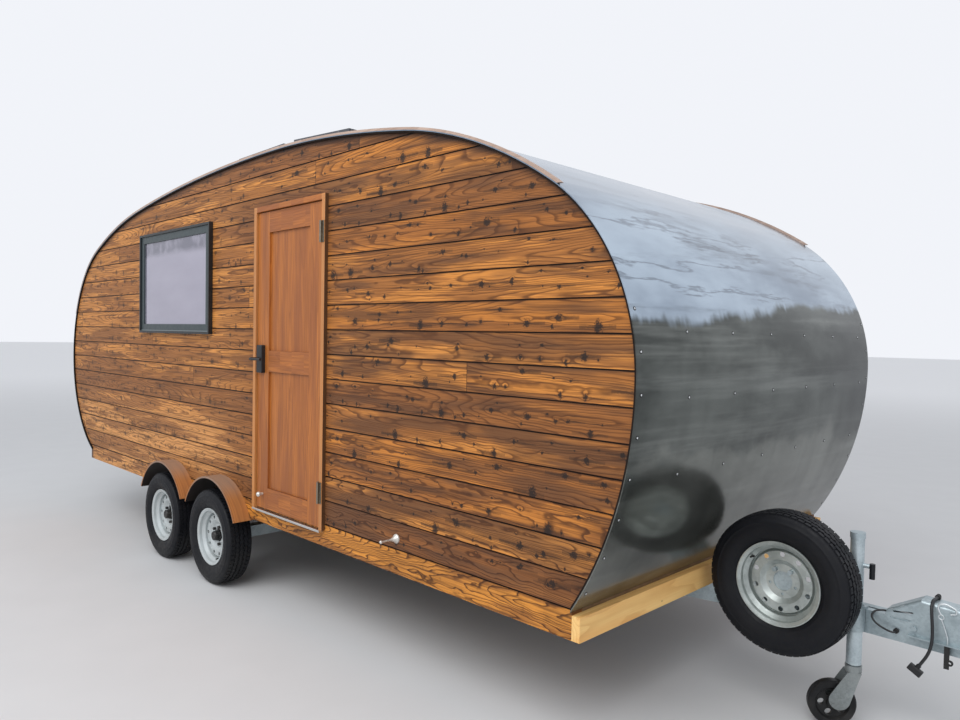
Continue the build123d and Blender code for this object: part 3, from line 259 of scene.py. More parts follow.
# The jack's handle is part of its tube's node, and ends in a black grip ahead of the tube
GRIP_X = 2.960
tree = tube_zinc.node_tree
shader = tree.nodes["Principled BSDF"]
bare = shader.inputs["Base Color"].links[0].from_socket
grip = calc(tree, "GREATER_THAN", axes(tree, add(tree, "ShaderNodeTexCoord").outputs["Object"])["X"], GRIP_X)
put(tree, shader, Base_Color=blend(tree, grip, bare, tone(34, 36, 40)))
give(galvanised("galvanised_fork", tone(160, 166, 166), tone(122, 128, 128), 150.0), "jockey_fork")


# Wheels: pressed steel painted silver, five studs, a black hub cap pressed into each hub. The hubs
# and brake drums turn on the axles' spindles.
material, tree, shader, place = finish("wheel_silver")
dirt = use(tree, road_dust, {"Place": place, "Amount": 0.3, "Height": 0.8})
put(tree, shader, Metallic=0.25, Roughness=ramp(tree, dirt["Grime"], 0, 1, 0.3, 0.42),
    Base_Color=blend(tree, dirt["Dust"], tone(196, 203, 204), tone(132, 124, 112)))
CORNERS = [f"{axle}_{side}" for axle in ("rear", "front") for side in ("door_side", "far_side")]
give(material, *[f"rim_{corner}" for corner in CORNERS])
material, tree, shader, place = finish("hub_black")
dirt = use(tree, road_dust, {"Place": place, "Amount": 0.4, "Height": 0.8})
put(tree, shader, Roughness=0.4, Metallic=0.4,
    Base_Color=blend(tree, dirt["Dust"], tone(34, 34, 36), tone(96, 90, 82)))
give(material, *[f"hub_{corner}" for corner in CORNERS])
give(galvanised("spare_wheel_zinc", tone(190, 197, 194), tone(150, 157, 154), 60.0), "spare_rim")


# Tyres: moulded black rubber with low steps on the side walls and a ribbed road tread cut into
# blocks, seated on the rims. Each replaces its plain solid and rides on that solid's body.
def point(tree, x=0.0, y=0.0, z=0.0):
    """A place from its X, Y and Z."""
    return add(tree, "ShaderNodeCombineXYZ", {0: x, 1: y, 2: z}).outputs[0]


def grown(name, tree, source, values, body):
    """The plain mesh that a Geometry Nodes tree makes from a source mesh, riding on a body."""
    holder = bpy.data.objects.new(name + "_source", source)
    scene.collection.objects.link(holder)
    modifier = holder.modifiers.new(name, "NODES")
    modifier.node_group = tree
    for item in tree.interface.items_tree:
        if item.in_out == "INPUT" and item.name in values:
            modifier[item.identifier] = values[item.name]
    mesh = bpy.data.meshes.new_from_object(holder.evaluated_get(bpy.context.evaluated_depsgraph_get()))
    bpy.data.objects.remove(holder)
    return placed(name, mesh, body)


def placed(name, mesh, body):
    """An object at the origin with that mesh, riding on a body."""
    mesh.name = name
    made = bpy.data.objects.new(name, mesh)
    scene.collection.objects.link(made)
    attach(made, body)
    return made


def geometry_tree(name, inputs):
    """An empty Geometry Nodes tree with named inputs and a geometry output."""
    tree = bpy.data.node_groups.new(name, "GeometryNodeTree")
    tree.interface.new_socket(name="Geometry", in_out="INPUT", socket_type="NodeSocketGeometry")
    for label, kind, value in inputs:
        socket = tree.interface.new_socket(name=label, in_out="INPUT", socket_type="NodeSocket" + kind)
        if value is not None:
            socket.default_value = value
    tree.interface.new_socket(name="Geometry", in_out="OUTPUT", socket_type="NodeSocketGeometry")
    return tree, tree.nodes.new("NodeGroupInput").outputs, tree.nodes.new("NodeGroupOutput").inputs


# Tread: blocks stood round a carcass. A row has its distance from the middle, block width, share
# of the pitch that is rubber, drop from the crown, skew and stagger.
TREAD_ROWS = (
    (-0.0535, 0.021, 0.84, 0.0032, 0.0, 0.5),
    (-0.0280, 0.020, 0.94, 0.0009, 0.3, 0.0),
    (0.0, 0.022, 0.95, 0.0, -0.3, 0.5),
    (0.0280, 0.020, 0.94, 0.0009, 0.3, 0.0),
    (0.0535, 0.021, 0.84, 0.0032, 0.0, 0.5),
)
BLOCKS = 62
BLOCK_DEPTH = 0.009
tree, given, results = geometry_tree("tread_blocks", (
    ("Radius", "Float", 0.3), ("Count", "Int", BLOCKS), ("Finish", "Material", None)))
tread_tree = tree
rows = add(tree, "GeometryNodeJoinGeometry")
tree.links.new(given["Geometry"], rows.inputs[0])
for across, width, share, drop, skew, stagger in TREAD_ROWS:
    reach = minus(tree, given["Radius"], drop + BLOCK_DEPTH / 2)
    ring = add(tree, "GeometryNodeMeshCircle", {"Vertices": given["Count"], "Radius": reach})
    pitch = calc(tree, "DIVIDE", times(tree, reach, 2 * pi * share), given["Count"])
    block = add(tree, "GeometryNodeMeshCube", {"Size": point(tree, BLOCK_DEPTH, pitch, width)})
    step = calc(tree, "DIVIDE", 2 * pi, given["Count"])
    angle = times(tree, add(tree, "GeometryNodeInputIndex").outputs[0], step)
    lean = add(tree, "GeometryNodeTransform", {"Geometry": block.outputs["Mesh"], "Rotation": (skew, 0, 0)})
    stood = add(tree, "GeometryNodeInstanceOnPoints", {
        "Points": ring.outputs["Mesh"], "Instance": lean.outputs[0], "Rotation": point(tree, z=angle)})
    row = add(tree, "GeometryNodeTransform", {
        "Geometry": stood.outputs[0], "Translation": (0, 0, across),
        "Rotation": point(tree, z=times(tree, step, stagger))})
    tree.links.new(row.outputs[0], rows.inputs[0])
whole = add(tree, "GeometryNodeRealizeInstances", {"Geometry": rows.outputs[0]})
coat = add(tree, "GeometryNodeSetMaterial", {"Geometry": whole.outputs[0], "Material": given["Finish"]})
feed(tree, results, {"Geometry": coat.outputs[0]})

material, tree, shader, place = finish("tyre_rubber")
dirt = use(tree, road_dust, {"Place": place, "Amount": 0.3, "Height": 0.35})
rubber = blend(tree, dirt["Grime"], tone(6, 8, 14), tone(13, 15, 22))
put(tree, shader, IOR=1.36, Roughness=ramp(tree, dirt["Grime"], 0, 1, 0.5, 0.66),
    Base_Color=blend(tree, dirt["Dust"], rubber, tone(70, 68, 64)),
    Normal=bump(tree, dirt["Grime"], 0.0001))
tyre_rubber = material


# Carcass: radius and half width from the bead, over the side wall's steps, to the crown's middle
HALF_PROFILE = (
    (0.1673, 0.0550), (0.1690, 0.0590), (0.1830, 0.0600), (0.1880, 0.0655), (0.1960, 0.0700),
    (0.1980, 0.0722), (0.2010, 0.0724), (0.2040, 0.0735), (0.2200, 0.0800), (0.2340, 0.0832),
    (0.2480, 0.0828), (0.2560, 0.0815), (0.2580, 0.0822), (0.2610, 0.0820), (0.2640, 0.0800),
    (0.2760, 0.0770), (0.2850, 0.0735), (0.2900, 0.0690), (0.2915, 0.0640), (0.2925, 0.0400),
    (0.2930, 0.0150))
HALF_PROFILE_RADIUS = 0.3
SIDE_WALL = 0.24
CARCASS_TURNS = 96


def carcass(radius):
    """The tyre's skin from bead to bead under the tread blocks, about Z."""
    profile = [(r + (radius - HALF_PROFILE_RADIUS if r > SIDE_WALL else 0), h) for r, h in HALF_PROFILE]
    profile += [(r, -h) for r, h in reversed(profile)]
    shape = bmesh.new()
    rings = []
    for n in range(CARCASS_TURNS):
        a = 2 * pi * n / CARCASS_TURNS
        rings.append([shape.verts.new((r * cos(a), r * sin(a), h)) for r, h in profile])
    for one, two in zip(rings, rings[1:] + rings[:1]):
        for n in range(len(one)):
            m = (n + 1) % len(one)
            shape.faces.new((one[n], one[m], two[m], two[n]))
    bmesh.ops.recalc_face_normals(shape, faces=shape.faces)
    mesh = bpy.data.meshes.new("carcass")
    shape.to_mesh(mesh)
    shape.free()
    mesh.materials.append(tyre_rubber)
    mesh.shade_smooth()
    return mesh


def middle(name):
    """Centre of a node's box."""
    low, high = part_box(name)
    return (Vector(low) + Vector(high)) / 2


tyres = [(corner, f"tyre_{corner}", f"wheel_{corner}") for corner in CORNERS]
for label, node, body in tyres + [("spare", "spare_tyre", "trailer")]:
    low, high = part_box(node)
    radius = (high[0] - low[0]) / 2
    made = grown(f"road_tyre_{label}", tread_tree, carcass(radius),
                 {"Radius": radius, "Count": BLOCKS, "Finish": tyre_rubber}, body)
    made.data.transform(Matrix.Translation(middle(node)) @ Matrix.Rotation(pi / 2, 4, "X"))
    made.data.validate()
    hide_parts(node)


# Jockey wheel: a moulded black wheel with five windows, on a bolt through the fork's cheeks. The
# fork turns in the foot of the jack's inner tube.
material, tree, shader, place = finish("jockey_rubber")
dirt = use(tree, road_dust, {"Place": place, "Amount": 0.3, "Height": 0.3})
put(tree, shader, Roughness=0.5, IOR=1.4, Normal=bump(tree, dirt["Grime"], 0.0001),
    Base_Color=blend(tree, dirt["Dust"], tone(12, 12, 15), tone(78, 76, 72)))
give(material, "jockey_wheel")


# Cords: the car's wiring cable leaves a rubber boot on the coupler housing, goes over its near
# edge and hangs down to its plug. The breakaway lead is a fixed loop into the rail.
material, tree, shader, place = finish("cable_black")
scuff = noise(tree, place, 180.0, 3.0)
put(tree, shader, Roughness=ramp(tree, scuff, 0.3, 0.7, 0.42, 0.62), Normal=bump(tree, scuff, 0.0001),
    Base_Color=blend(tree, scuff, tone(24, 24, 26), tone(40, 40, 43)))
cable_black = material
give(cable_black, "brake_lead")
CABLE = (
    (3.184, 0.016, 0.5969),
    (3.184, -0.008, 0.5969),
    (3.183, -0.034, 0.5979),
    (3.183, -0.057, 0.5899),
    (3.185, -0.069, 0.5669),
    (3.190, -0.076, 0.5289),
    (3.194, -0.080, 0.4809),
    (3.194, -0.084, 0.4409),
    (3.186, -0.086, 0.4029),
    (3.172, -0.087, 0.3709),
    (3.154, -0.088, 0.3409),
)
CABLE_RADIUS = 0.006
curve = bpy.data.curves.new("wiring_cable_sheath", "CURVE")
curve.dimensions = "3D"
line = curve.splines.new("NURBS")
line.points.add(len(CABLE) - 1)
for vertex, at in zip(line.points, CABLE):
    vertex.co = (*at, 1)
line.order_u = 3
line.use_endpoint_u = True
curve.resolution_u = 12
curve.bevel_depth = CABLE_RADIUS
curve.bevel_resolution = 4
curve.use_fill_caps = True
curve.materials.append(cable_black)
cable = bpy.data.objects.new("wiring_cable_sheath", curve)
scene.collection.objects.link(cable)
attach(cable, "trailer")
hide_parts("wiring_cable")


# Fittings: the plug and the lock's case are moulded plastic, the boots and the strap are rubber, and
# dark edgings are tacked round the walls. The hinges and the hook are plated steel.
def stretch(tree, place, factors):
    """A place with each axis multiplied by its factor."""
    return add(tree, "ShaderNodeVectorMath", {0: place, 1: factors}, operation="MULTIPLY").outputs[0]


material, tree, shader, place = finish("black_plastic")
grain = noise(tree, place, 420.0, 2.0)
put(tree, shader, Roughness=ramp(tree, grain, 0.3, 0.7, 0.38, 0.5), Normal=bump(tree, grain, 0.00006),
    Base_Color=blend(tree, noise(tree, place, 14.0), tone(20, 20, 22), tone(32, 32, 34)))
black_plastic = material
give(black_plastic, "wiring_plug", "door_lock")
material, tree, shader, place = finish("black_rubber")
grain = noise(tree, place, 200.0, 3.0)
put(tree, shader, Roughness=0.75, Normal=bump(tree, grain, 0.00015),
    Base_Color=blend(tree, grain, tone(22, 22, 23), tone(44, 43, 42)))
black_rubber = material
give(black_rubber, "rubber_fittings")
material, tree, shader, place = finish("edging_black")
grain = noise(tree, place, 60.0, 3.0)
put(tree, shader, Roughness=0.8, IOR=1.2, Normal=bump(tree, grain, 0.0001),
    Base_Color=blend(tree, grain, tone(26, 20, 18), tone(44, 35, 31)))
give(material, "wall_edgings")
material, tree, shader, place = finish("steel_hardware")
streak = noise(tree, stretch(tree, place, (60, 60, 900)), 1.0, 2.0)
put(tree, shader, Metallic=1.0, Roughness=ramp(tree, streak, 0.3, 0.7, 0.28, 0.45),
    Base_Color=blend(tree, streak, tone(126, 117, 104), tone(158, 148, 132)))
steel_hardware = material
give(steel_hardware, "door_hinges_fixed", "door_hinges_moving")
give(galvanised("bright_zinc", tone(226, 231, 233), tone(186, 193, 195), 200.0), "tether_hook")


# Wood: one grain for every wooden piece. Growth rings are contour lines of a smooth field that is
# drawn out along the board: each darkens slowly and ends sharply, and bends round the knots.
tree, given, results = group("wood_grain", {
    "Place": (0, 0, 0), "Seed": 0.0, "Rings": 30.0, "Swirl": 0.0, "Wave": 0.0},
    ["Ring", "Line", "Streak", "Fibre", "Patch", "Flame"])
wood_grain = tree
away = point(tree, *[times(tree, given["Seed"], factor) for factor in (3.17, 1.73, 2.41)])
spot = add(tree, "ShaderNodeVectorMath", {0: given["Place"], 1: away}, operation="ADD").outputs[0]
broad = noise(tree, stretch(tree, spot, (0.45, 6.5, 6.5)), 1.0, 1.0, 0.4)
wavy = noise(tree, stretch(tree, spot, (7.0, 20.0, 20.0)), 1.0, 2.0, 0.5)
field = calc(tree, "MULTIPLY_ADD", broad, given["Rings"], given["Swirl"])
field = calc(tree, "MULTIPLY_ADD", wavy, plus(tree, given["Wave"], 0.5), field)
year = calc(tree, "FRACT", field)
ended = ramp(tree, year, 0.9, 1.0, 1.0, 0.0)
late = times(tree, calc(tree, "POWER", year, 2.2), ended)
streak = noise(tree, stretch(tree, spot, (1.3, 66, 66)), 1.0, 2.0, 0.55)
flame = noise(tree, stretch(tree, spot, (0.9, 9, 9)), 1.0, 4.0, 0.6)
feed(tree, results, {
    "Ring": late,
    "Line": times(tree, ramp(tree, year, 0.62, 0.86), ended),
    "Streak": ramp(tree, streak, 0.54, 0.66),
    "Fibre": noise(tree, stretch(tree, spot, (4, 240, 240)), 1.0, 3.0, 0.6),
    "Patch": noise(tree, stretch(tree, spot, (1.5, 13, 13)), 1.0, 3.0, 0.55),
    "Flame": calc(tree, "MULTIPLY_ADD", late, 0.05, flame)})


# Knots: at most one in each stretch of a board, its place and size from the board's number, with a
# ragged edge and a dark smear drawn out along the grain.
tree, given, results = group("board_knots", {
    "Along": 0.0, "Across": 0.5, "Board": 0.0, "Pitch": 0.2, "Width": 0.13, "Size": 0.011},
    ["Knot", "Swirl", "Smear"])
board_knots = tree
stride = calc(tree, "DIVIDE", given["Along"], given["Pitch"])
stride = calc(tree, "MULTIPLY_ADD", given["Board"], 0.618, stride)
cell = calc(tree, "FLOOR", stride)
key = point(tree, cell, given["Board"], given["Pitch"])
dice = add(tree, "ShaderNodeTexWhiteNoise", {"Vector": key}, noise_dimensions="3D").outputs["Color"]
dice = add(tree, "ShaderNodeSeparateColor", {0: dice}).outputs
along = minus(tree, minus(tree, stride, cell), calc(tree, "MULTIPLY_ADD", dice[0], 0.4, 0.3))
along = times(tree, along, given["Pitch"])
across = minus(tree, given["Across"], calc(tree, "MULTIPLY_ADD", dice[1], 0.76, 0.12))
across = times(tree, across, given["Width"])
size = calc(tree, "MULTIPLY_ADD", times(tree, dice[2], dice[2]), 0.75, 0.4)
size = times(tree, size, given["Size"])
rough = noise(tree, point(tree, along, across, dice[2]), 120.0, 3.0, 0.65)
ragged = calc(tree, "MULTIPLY_ADD", rough, 2.6, -1.3)
squash = calc(tree, "MULTIPLY_ADD", dice[1], 1.5, 0.35)
far_off = calc(tree, "MULTIPLY_ADD", times(tree, across, across), squash, times(tree, along, along))
far_off = calc(tree, "SQRT", far_off)
far_off = calc(tree, "DIVIDE", far_off, size)
there = calc(tree, "GREATER_THAN", dice[2], 0.18)
knot = ramp(tree, plus(tree, far_off, ragged), 0.5, 1.1, 1.0, 0.0)
square = times(tree, far_off, far_off)
swirl = calc(tree, "EXPONENT", times(tree, square, -0.3))
trail = calc(tree, "MULTIPLY_ADD", minus(tree, dice[0], 0.5), times(tree, size, 6.0), along)
length = calc(tree, "DIVIDE", trail, times(tree, size, 6.5))
girth = calc(tree, "MULTIPLY_ADD", ragged, times(tree, size, 0.25), across)
girth = calc(tree, "DIVIDE", girth, times(tree, size, 0.36))
smear = calc(tree, "MULTIPLY_ADD", length, length, times(tree, girth, girth))
smear = calc(tree, "EXPONENT", times(tree, smear, -1.0))
feed(tree, results, {
    "Knot": times(tree, knot, there),
    "Swirl": times(tree, times(tree, swirl, 0.55), there),
    "Smear": times(tree, smear, there)})


# Floor and end timbers: a sandwich floor, plain softwood across the front and rear, and boxes of
# thin board over the wheels. All are screwed up into the floor's frame.
def timber(name, light, dark, knot_colour, pitch, rings=22.0, axis="Y", gloss=0.6):
    """Plain planed softwood whose grain runs along the axis."""
    material, tree, shader, place = finish(name)
    parts = axes(tree, place)
    deep, tall = [parts[letter] for letter in "XYZ" if letter != axis]
    across = calc(tree, "FRACT", calc(tree, "DIVIDE", tall, 0.13))
    knots = use(tree, board_knots, {
        "Along": parts[axis], "Across": across, "Board": 3.0, "Pitch": pitch, "Size": 0.008})
    wood = use(tree, wood_grain, {
        "Place": point(tree, parts[axis], tall, deep), "Seed": 2.0, "Rings": rings,
        "Swirl": knots["Swirl"], "Wave": 0.2})
    colour = blend(tree, times(tree, wood["Ring"], 0.75), light, dark)
    colour = blend(tree, ramp(tree, wood["Patch"], 0.3, 0.7, 0.0, 0.4), colour, dark, "MULTIPLY")
    colour = blend(tree, ramp(tree, wood["Fibre"], 0.35, 0.7, 0.0, 0.25), colour, dark)
    put(tree, shader, Base_Color=blend(tree, knots["Knot"], colour, knot_colour), Roughness=gloss,
        Normal=bump(tree, plus(tree, wood["Ring"], wood["Fibre"]), 0.0003))
    return material


give(timber("pine", tone(252, 210, 136), tone(226, 172, 100), tone(96, 52, 24), 0.45), "front_timber")
give(timber("dark_timber", tone(112, 76, 50), tone(74, 48, 32), tone(44, 28, 18), 0.45), "rear_timber")
give(timber("floor_timber", tone(128, 100, 70), tone(92, 68, 46), tone(50, 34, 22), 0.6, axis="X"),
     "floor", "wheel_box_door_side", "wheel_box_far_side")
give(timber("strip_wood", tone(194, 170, 155), tone(162, 136, 120), tone(90, 60, 42), 0.9, axis="X"),
     "roof_strips")


# Skin: thin mill-finish sheet bent round the ribs in three lengths, lapped at the seams. It is
# slightly wavy and hazed by fine brushing. Its colour is painted reflection: sky above a ragged
# line, and darker ground below it.
SHELL = "front_shell", "rear_shell", "roof_shell"
SKY_REFLECTION_LINE = 1.75
SKY_REFLECTION_SLOPE = -0.07
PAVED_REFLECTION_LINE = 1.16
CROWN_REFLECTION_DIMS = 2.0, 2.55
material, tree, shader, place = finish("mill_sheet")
parts = axes(tree, place)
brushing = noise(tree, stretch(tree, place, (0.7, 60, 0.7)), 1.0, 3.0, 0.6)
smudge_and_reflection_patches = noise(tree, stretch(tree, place, (3.2, 1.1, 3.2)), 1.0, 4.0, 0.6)
cloud = noise(tree, place, 2.3, 4.0, 0.6)
jag = noise(tree, stretch(tree, place, (1.0, 14.0, 1.0)), 1.0, 3.0, 0.7)
uneven = minus(tree, cloud, 0.5)
height = calc(tree, "MULTIPLY_ADD", parts["Y"], SKY_REFLECTION_SLOPE, parts["Z"])
height = calc(tree, "MULTIPLY_ADD", uneven, 0.22, height)
height = calc(tree, "MULTIPLY_ADD", minus(tree, jag, 0.5), 0.06, height)
mottle = noise(tree, stretch(tree, place, (1.6, 1.0, 2.6)), 1.0, 5.0, 0.62)
# Below the line: a painted ground reflection, lighter over a paved band, streaked, and darker towards the far
# side.
ground_reflection = blend(tree, ramp(tree, mottle, 0.35, 0.65), tone(54, 58, 55), tone(104, 108, 104))
paved_reflection_mask = calc(tree, "MULTIPLY_ADD", uneven, 0.4, parts["Z"])
paved_reflection_mask = ramp(tree, paved_reflection_mask, PAVED_REFLECTION_LINE - 0.05, PAVED_REFLECTION_LINE + 0.02, 1.0, 0.0)
paved_reflection = blend(tree, ramp(tree, mottle, 0.35, 0.65), tone(98, 100, 95), tone(136, 138, 132))
ground_reflection = blend(tree, times(tree, paved_reflection_mask, 0.8), ground_reflection, paved_reflection)
reflected_level_streaks = noise(tree, stretch(tree, place, (1.0, 0.6, 15.0)), 1.0, 4.0, 0.6)
reflected_upright_streaks = noise(tree, stretch(tree, place, (1.0, 6.0, 1.0)), 1.0, 4.0, 0.6)
ground_reflection = blend(tree, ramp(tree, reflected_level_streaks, 0.48, 0.72, 0.0, 0.4), ground_reflection, tone(150, 153, 148))
ground_reflection = blend(tree, ramp(tree, reflected_upright_streaks, 0.42, 0.8, 0.0, 0.5), ground_reflection, tone(52, 56, 52))
far_shade = times(tree, ramp(tree, parts["Y"], 0.4, 1.15, 0.0, 0.6), ramp(tree, parts["Z"], 1.0, 1.25))
ground_reflection = blend(tree, far_shade, ground_reflection, tone(34, 37, 38))
# Above the line: a painted sky reflection, with wisps, branch streaks and a dimmer crown.
sky_reflection = blend(tree, ramp(tree, smudge_and_reflection_patches, 0.3, 0.7), tone(138, 152, 168), tone(184, 199, 213))
reflected_wisp = noise(tree, stretch(tree, place, (4.0, 0.9, 9.0)), 1.0, 5.0, 0.68)
sky_reflection = blend(tree, ramp(tree, reflected_wisp, 0.5, 0.7, 0.0, 0.6), sky_reflection, tone(92, 100, 110))
reflected_branch = noise(tree, stretch(tree, place, (2.2, 0.5, 5.0)), 1.0, 6.0, 0.62)
reflected_branch = ramp(tree, calc(tree, "ABSOLUTE", minus(tree, reflected_branch, 0.5)), 0.0, 0.022, 0.62, 0.0)
reflected_branch = times(tree, reflected_branch, ramp(tree, smudge_and_reflection_patches, 0.42, 0.56))
sky_reflection = blend(tree, reflected_branch, sky_reflection, tone(96, 104, 116))
sky_reflection = blend(tree, ramp(tree, parts["Z"], *CROWN_REFLECTION_DIMS, 0.0, 0.8), sky_reflection, tone(120, 136, 154))
colour = blend(tree, ramp(tree, height, SKY_REFLECTION_LINE - 0.02, SKY_REFLECTION_LINE + 0.03), ground_reflection, sky_reflection)
sheen = calc(tree, "MULTIPLY_ADD", brushing, 0.05, ramp(tree, smudge_and_reflection_patches, 0.25, 0.75, 0.10, 0.2))
put(tree, shader, Metallic=0.72, Base_Color=colour, Roughness=sheen,
    Normal=bump(tree, noise(tree, stretch(tree, place, (2.6, 0.6, 2.6)), 1.0, 2.0), 0.014, 0.5))
give(material, *SHELL)


# Cladding: oiled knotty cedar boards laid level from sill to roof, butted end to end here and
# there and blind nailed, with a shadow groove at each joint. The lower boards have the wildest grain.
BOARD_STEP = 0.1302
FIRST_JOINT = 0.587
BOARD_RUN = 11.0
GROOVE = 0.0064
KNOTS = {"Pitch": 0.165, "Size": 0.021}
PINS = {"Pitch": 0.124, "Size": 0.0095}
material, tree, shader, place = finish("cedar_boards")
parts = axes(tree, place)
level = calc(tree, "DIVIDE", minus(tree, parts["Z"], FIRST_JOINT), BOARD_STEP)
board = calc(tree, "FLOOR", level)
across = minus(tree, level, board)
shift = add(tree, "ShaderNodeTexWhiteNoise", {"W": board}, noise_dimensions="1D").outputs["Value"]
run = calc(tree, "MULTIPLY_ADD", shift, 2.0, calc(tree, "DIVIDE", parts["X"], BOARD_RUN))
length = calc(tree, "FLOOR", run)
number = calc(tree, "MULTIPLY_ADD", length, 7.0, board)
joint = minus(tree, 0.5, calc(tree, "ABSOLUTE", minus(tree, calc(tree, "FRACT", run), 0.5)))
joint = ramp(tree, times(tree, joint, BOARD_RUN), 0.0008, 0.0022, 1.0, 0.0)
dice = add(tree, "ShaderNodeTexWhiteNoise", {"W": plus(tree, number, 0.37)}, noise_dimensions="1D")
dice = add(tree, "ShaderNodeSeparateColor", {0: dice.outputs["Color"]}).outputs
on_board = {"Along": parts["X"], "Across": across, "Board": number}
knots = use(tree, board_knots, {**on_board, **KNOTS})
pins = use(tree, board_knots, {**on_board, **PINS})
behind_wheels = ramp(tree, parts["X"], -1.9, -1.5, 1.0, 0.0)
bottom = times(tree, calc(tree, "LESS_THAN", level, 0.0), minus(tree, 1.0, behind_wheels))
honey = ramp(tree, parts["X"], -0.9, 0.3, 1.0, 0.0)
low_left = times(tree, ramp(tree, parts["X"], -0.8, 0.0, 1.0, 0.0),
                 ramp(tree, parts["Z"], 0.8, 1.3, 1.0, 0.25))
second = calc(tree, "COMPARE", board, 0.0, 0.1)
knotty = minus(tree, 1.0, calc(tree, "MAXIMUM", times(tree, bottom, 0.8), times(tree, honey, 0.35)))
knot = times(tree, calc(tree, "MAXIMUM", knots["Knot"], pins["Knot"]), knotty)
swirl = times(tree, plus(tree, knots["Swirl"], pins["Swirl"]), knotty)
low_boards = ramp(tree, parts["Z"], 0.5, 1.35, 1.0, 0.0)
bold = calc(tree, "MULTIPLY_ADD", dice[1], 14.0, calc(tree, "MULTIPLY_ADD", low_boards, -9.0, 30.0))
bold = calc(tree, "MULTIPLY_ADD", bottom, 24.0, bold)
wave = calc(tree, "MULTIPLY_ADD", low_boards, 2.4, 0.4)
turned = point(tree, parts["X"], parts["Z"])
wood = use(tree, wood_grain, {"Place": turned, "Seed": number, "Rings": bold, "Swirl": swirl, "Wave": wave})
amber = blend(tree, dice[0], tone(198, 124, 54), tone(228, 152, 74))
amber = blend(tree, times(tree, honey, 0.5), amber, tone(234, 158, 78))
amber = blend(tree, times(tree, low_left, 0.8), amber, tone(236, 170, 104))
amber = blend(tree, bottom, amber, tone(232, 154, 66))
brown = calc(tree, "MAXIMUM", ramp(tree, dice[2], 0.55, 0.95, 0.0, 0.6), times(tree, second, 0.75))
brown = times(tree, brown, calc(tree, "MULTIPLY_ADD", low_left, -0.85, 1.0))
amber = blend(tree, times(tree, brown, minus(tree, 1.0, bottom)), amber, tone(132, 86, 54))
heart = ramp(tree, calc(tree, "MULTIPLY_ADD", dice[2], 0.10, wood["Flame"]), 0.5, 0.56)
colour = blend(tree, times(tree, heart, 0.6), amber, tone(140, 88, 50))
smoke = calc(tree, "MULTIPLY_ADD", dice[1], 0.12, wood["Patch"])
clear = calc(tree, "MULTIPLY_ADD", calc(tree, "MAXIMUM", bottom, honey), -0.5, 0.74)
clear = times(tree, clear, calc(tree, "MULTIPLY_ADD", low_left, -0.6, 1.0))
smoke = times(tree, ramp(tree, smoke, 0.48, 0.68), clear)
colour = blend(tree, smoke, colour, tone(94, 66, 48))
colour = blend(tree, times(tree, wood["Ring"], 0.4), colour, tone(84, 46, 24))
strength = calc(tree, "MULTIPLY_ADD", low_left, -0.35, calc(tree, "MULTIPLY_ADD", low_boards, 0.3, 0.5))
colour = blend(tree, times(tree, wood["Line"], strength), colour, tone(62, 34, 20))
colour = blend(tree, times(tree, wood["Streak"], 0.52), colour, tone(70, 44, 30))
colour = blend(tree, ramp(tree, wood["Fibre"], 0.42, 0.7, 0.0, 0.5), colour, tone(96, 58, 32))
smear = times(tree, calc(tree, "MAXIMUM", knots["Smear"], pins["Smear"]), times(tree, knotty, 0.75))
colour = blend(tree, smear, colour, tone(60, 42, 31))
colour = blend(tree, times(tree, knot, 0.92), colour, tone(42, 33, 29))
edge = minus(tree, 0.5, calc(tree, "ABSOLUTE", minus(tree, across, 0.5)))
edge = times(tree, ramp(tree, edge, 0.0, 0.05, 1.0, 0.0), 0.4)
groove = ramp(tree, times(tree, across, BOARD_STEP), GROOVE - 0.0004, GROOVE + 0.0004, 1.0, 0.0)
groove = calc(tree, "MAXIMUM", edge, calc(tree, "MAXIMUM", joint, groove))
colour = blend(tree, groove, colour, tone(34, 18, 11))

# A painted shadow darkens the top of the wall under the roof's edge. The outline's six tangent
# arcs, three on each side of the crown, give each point's depth under the roof.
CROWN_X, CROWN_Z = 0.012, 2.668


def crown_arcs(tip, rise, shoulder, turns):
    """Lowest X, centre and radius of three tangent arcs from an upright tip to the crown.

    The turns are the angles at which the shoulder arc and the middle arc end.
    """
    side = 1 if tip > CROWN_X else -1
    cos1, cos2 = [cos(radians(turn)) for turn in turns]
    sin1, sin2 = [sin(radians(turn)) for turn in turns]
    across = abs(tip - CROWN_X) - shoulder * (1 - cos1)
    up = rise - shoulder * sin1
    whole = (cos1 - cos2) * (1 - sin2) - cos2 * (sin2 - sin1)
    waist = (across * (1 - sin2) - cos2 * up) / whole
    top = ((cos1 - cos2) * up - (sin2 - sin1) * across) / whole
    first = Vector((tip - side * shoulder, 0, CROWN_Z - rise))
    second = first + (shoulder - waist) * Vector((side * cos1, 0, sin1))
    ends = first.x + side * shoulder * cos1, second.x + side * waist * cos2
    return [(min(tip, ends[0]), first, shoulder), (min(ends), second, waist),
            (min(ends[1], CROWN_X), Vector((CROWN_X, 0, CROWN_Z - top)), top)]


REAR_CURVE = -3.582, 1.310, 0.995, (68, 82.218)
FRONT_CURVE = 2.530, 1.202, 0.900, (57, 80.444)
flat = point(tree, parts["X"], z=parts["Z"])
depth = 0.0
arcs = sorted(crown_arcs(*REAR_CURVE) + crown_arcs(*FRONT_CURVE), key=lambda row: row[0])
for arc_start, centre, radius in arcs:
    reach = add(tree, "ShaderNodeVectorMath", {0: flat, 1: centre}, operation="DISTANCE").outputs["Value"]
    passed = calc(tree, "GREATER_THAN", parts["X"], arc_start)
    depth = add(tree, "ShaderNodeMix", {0: passed, 2: depth, 3: minus(tree, radius, reach)}).outputs[0]
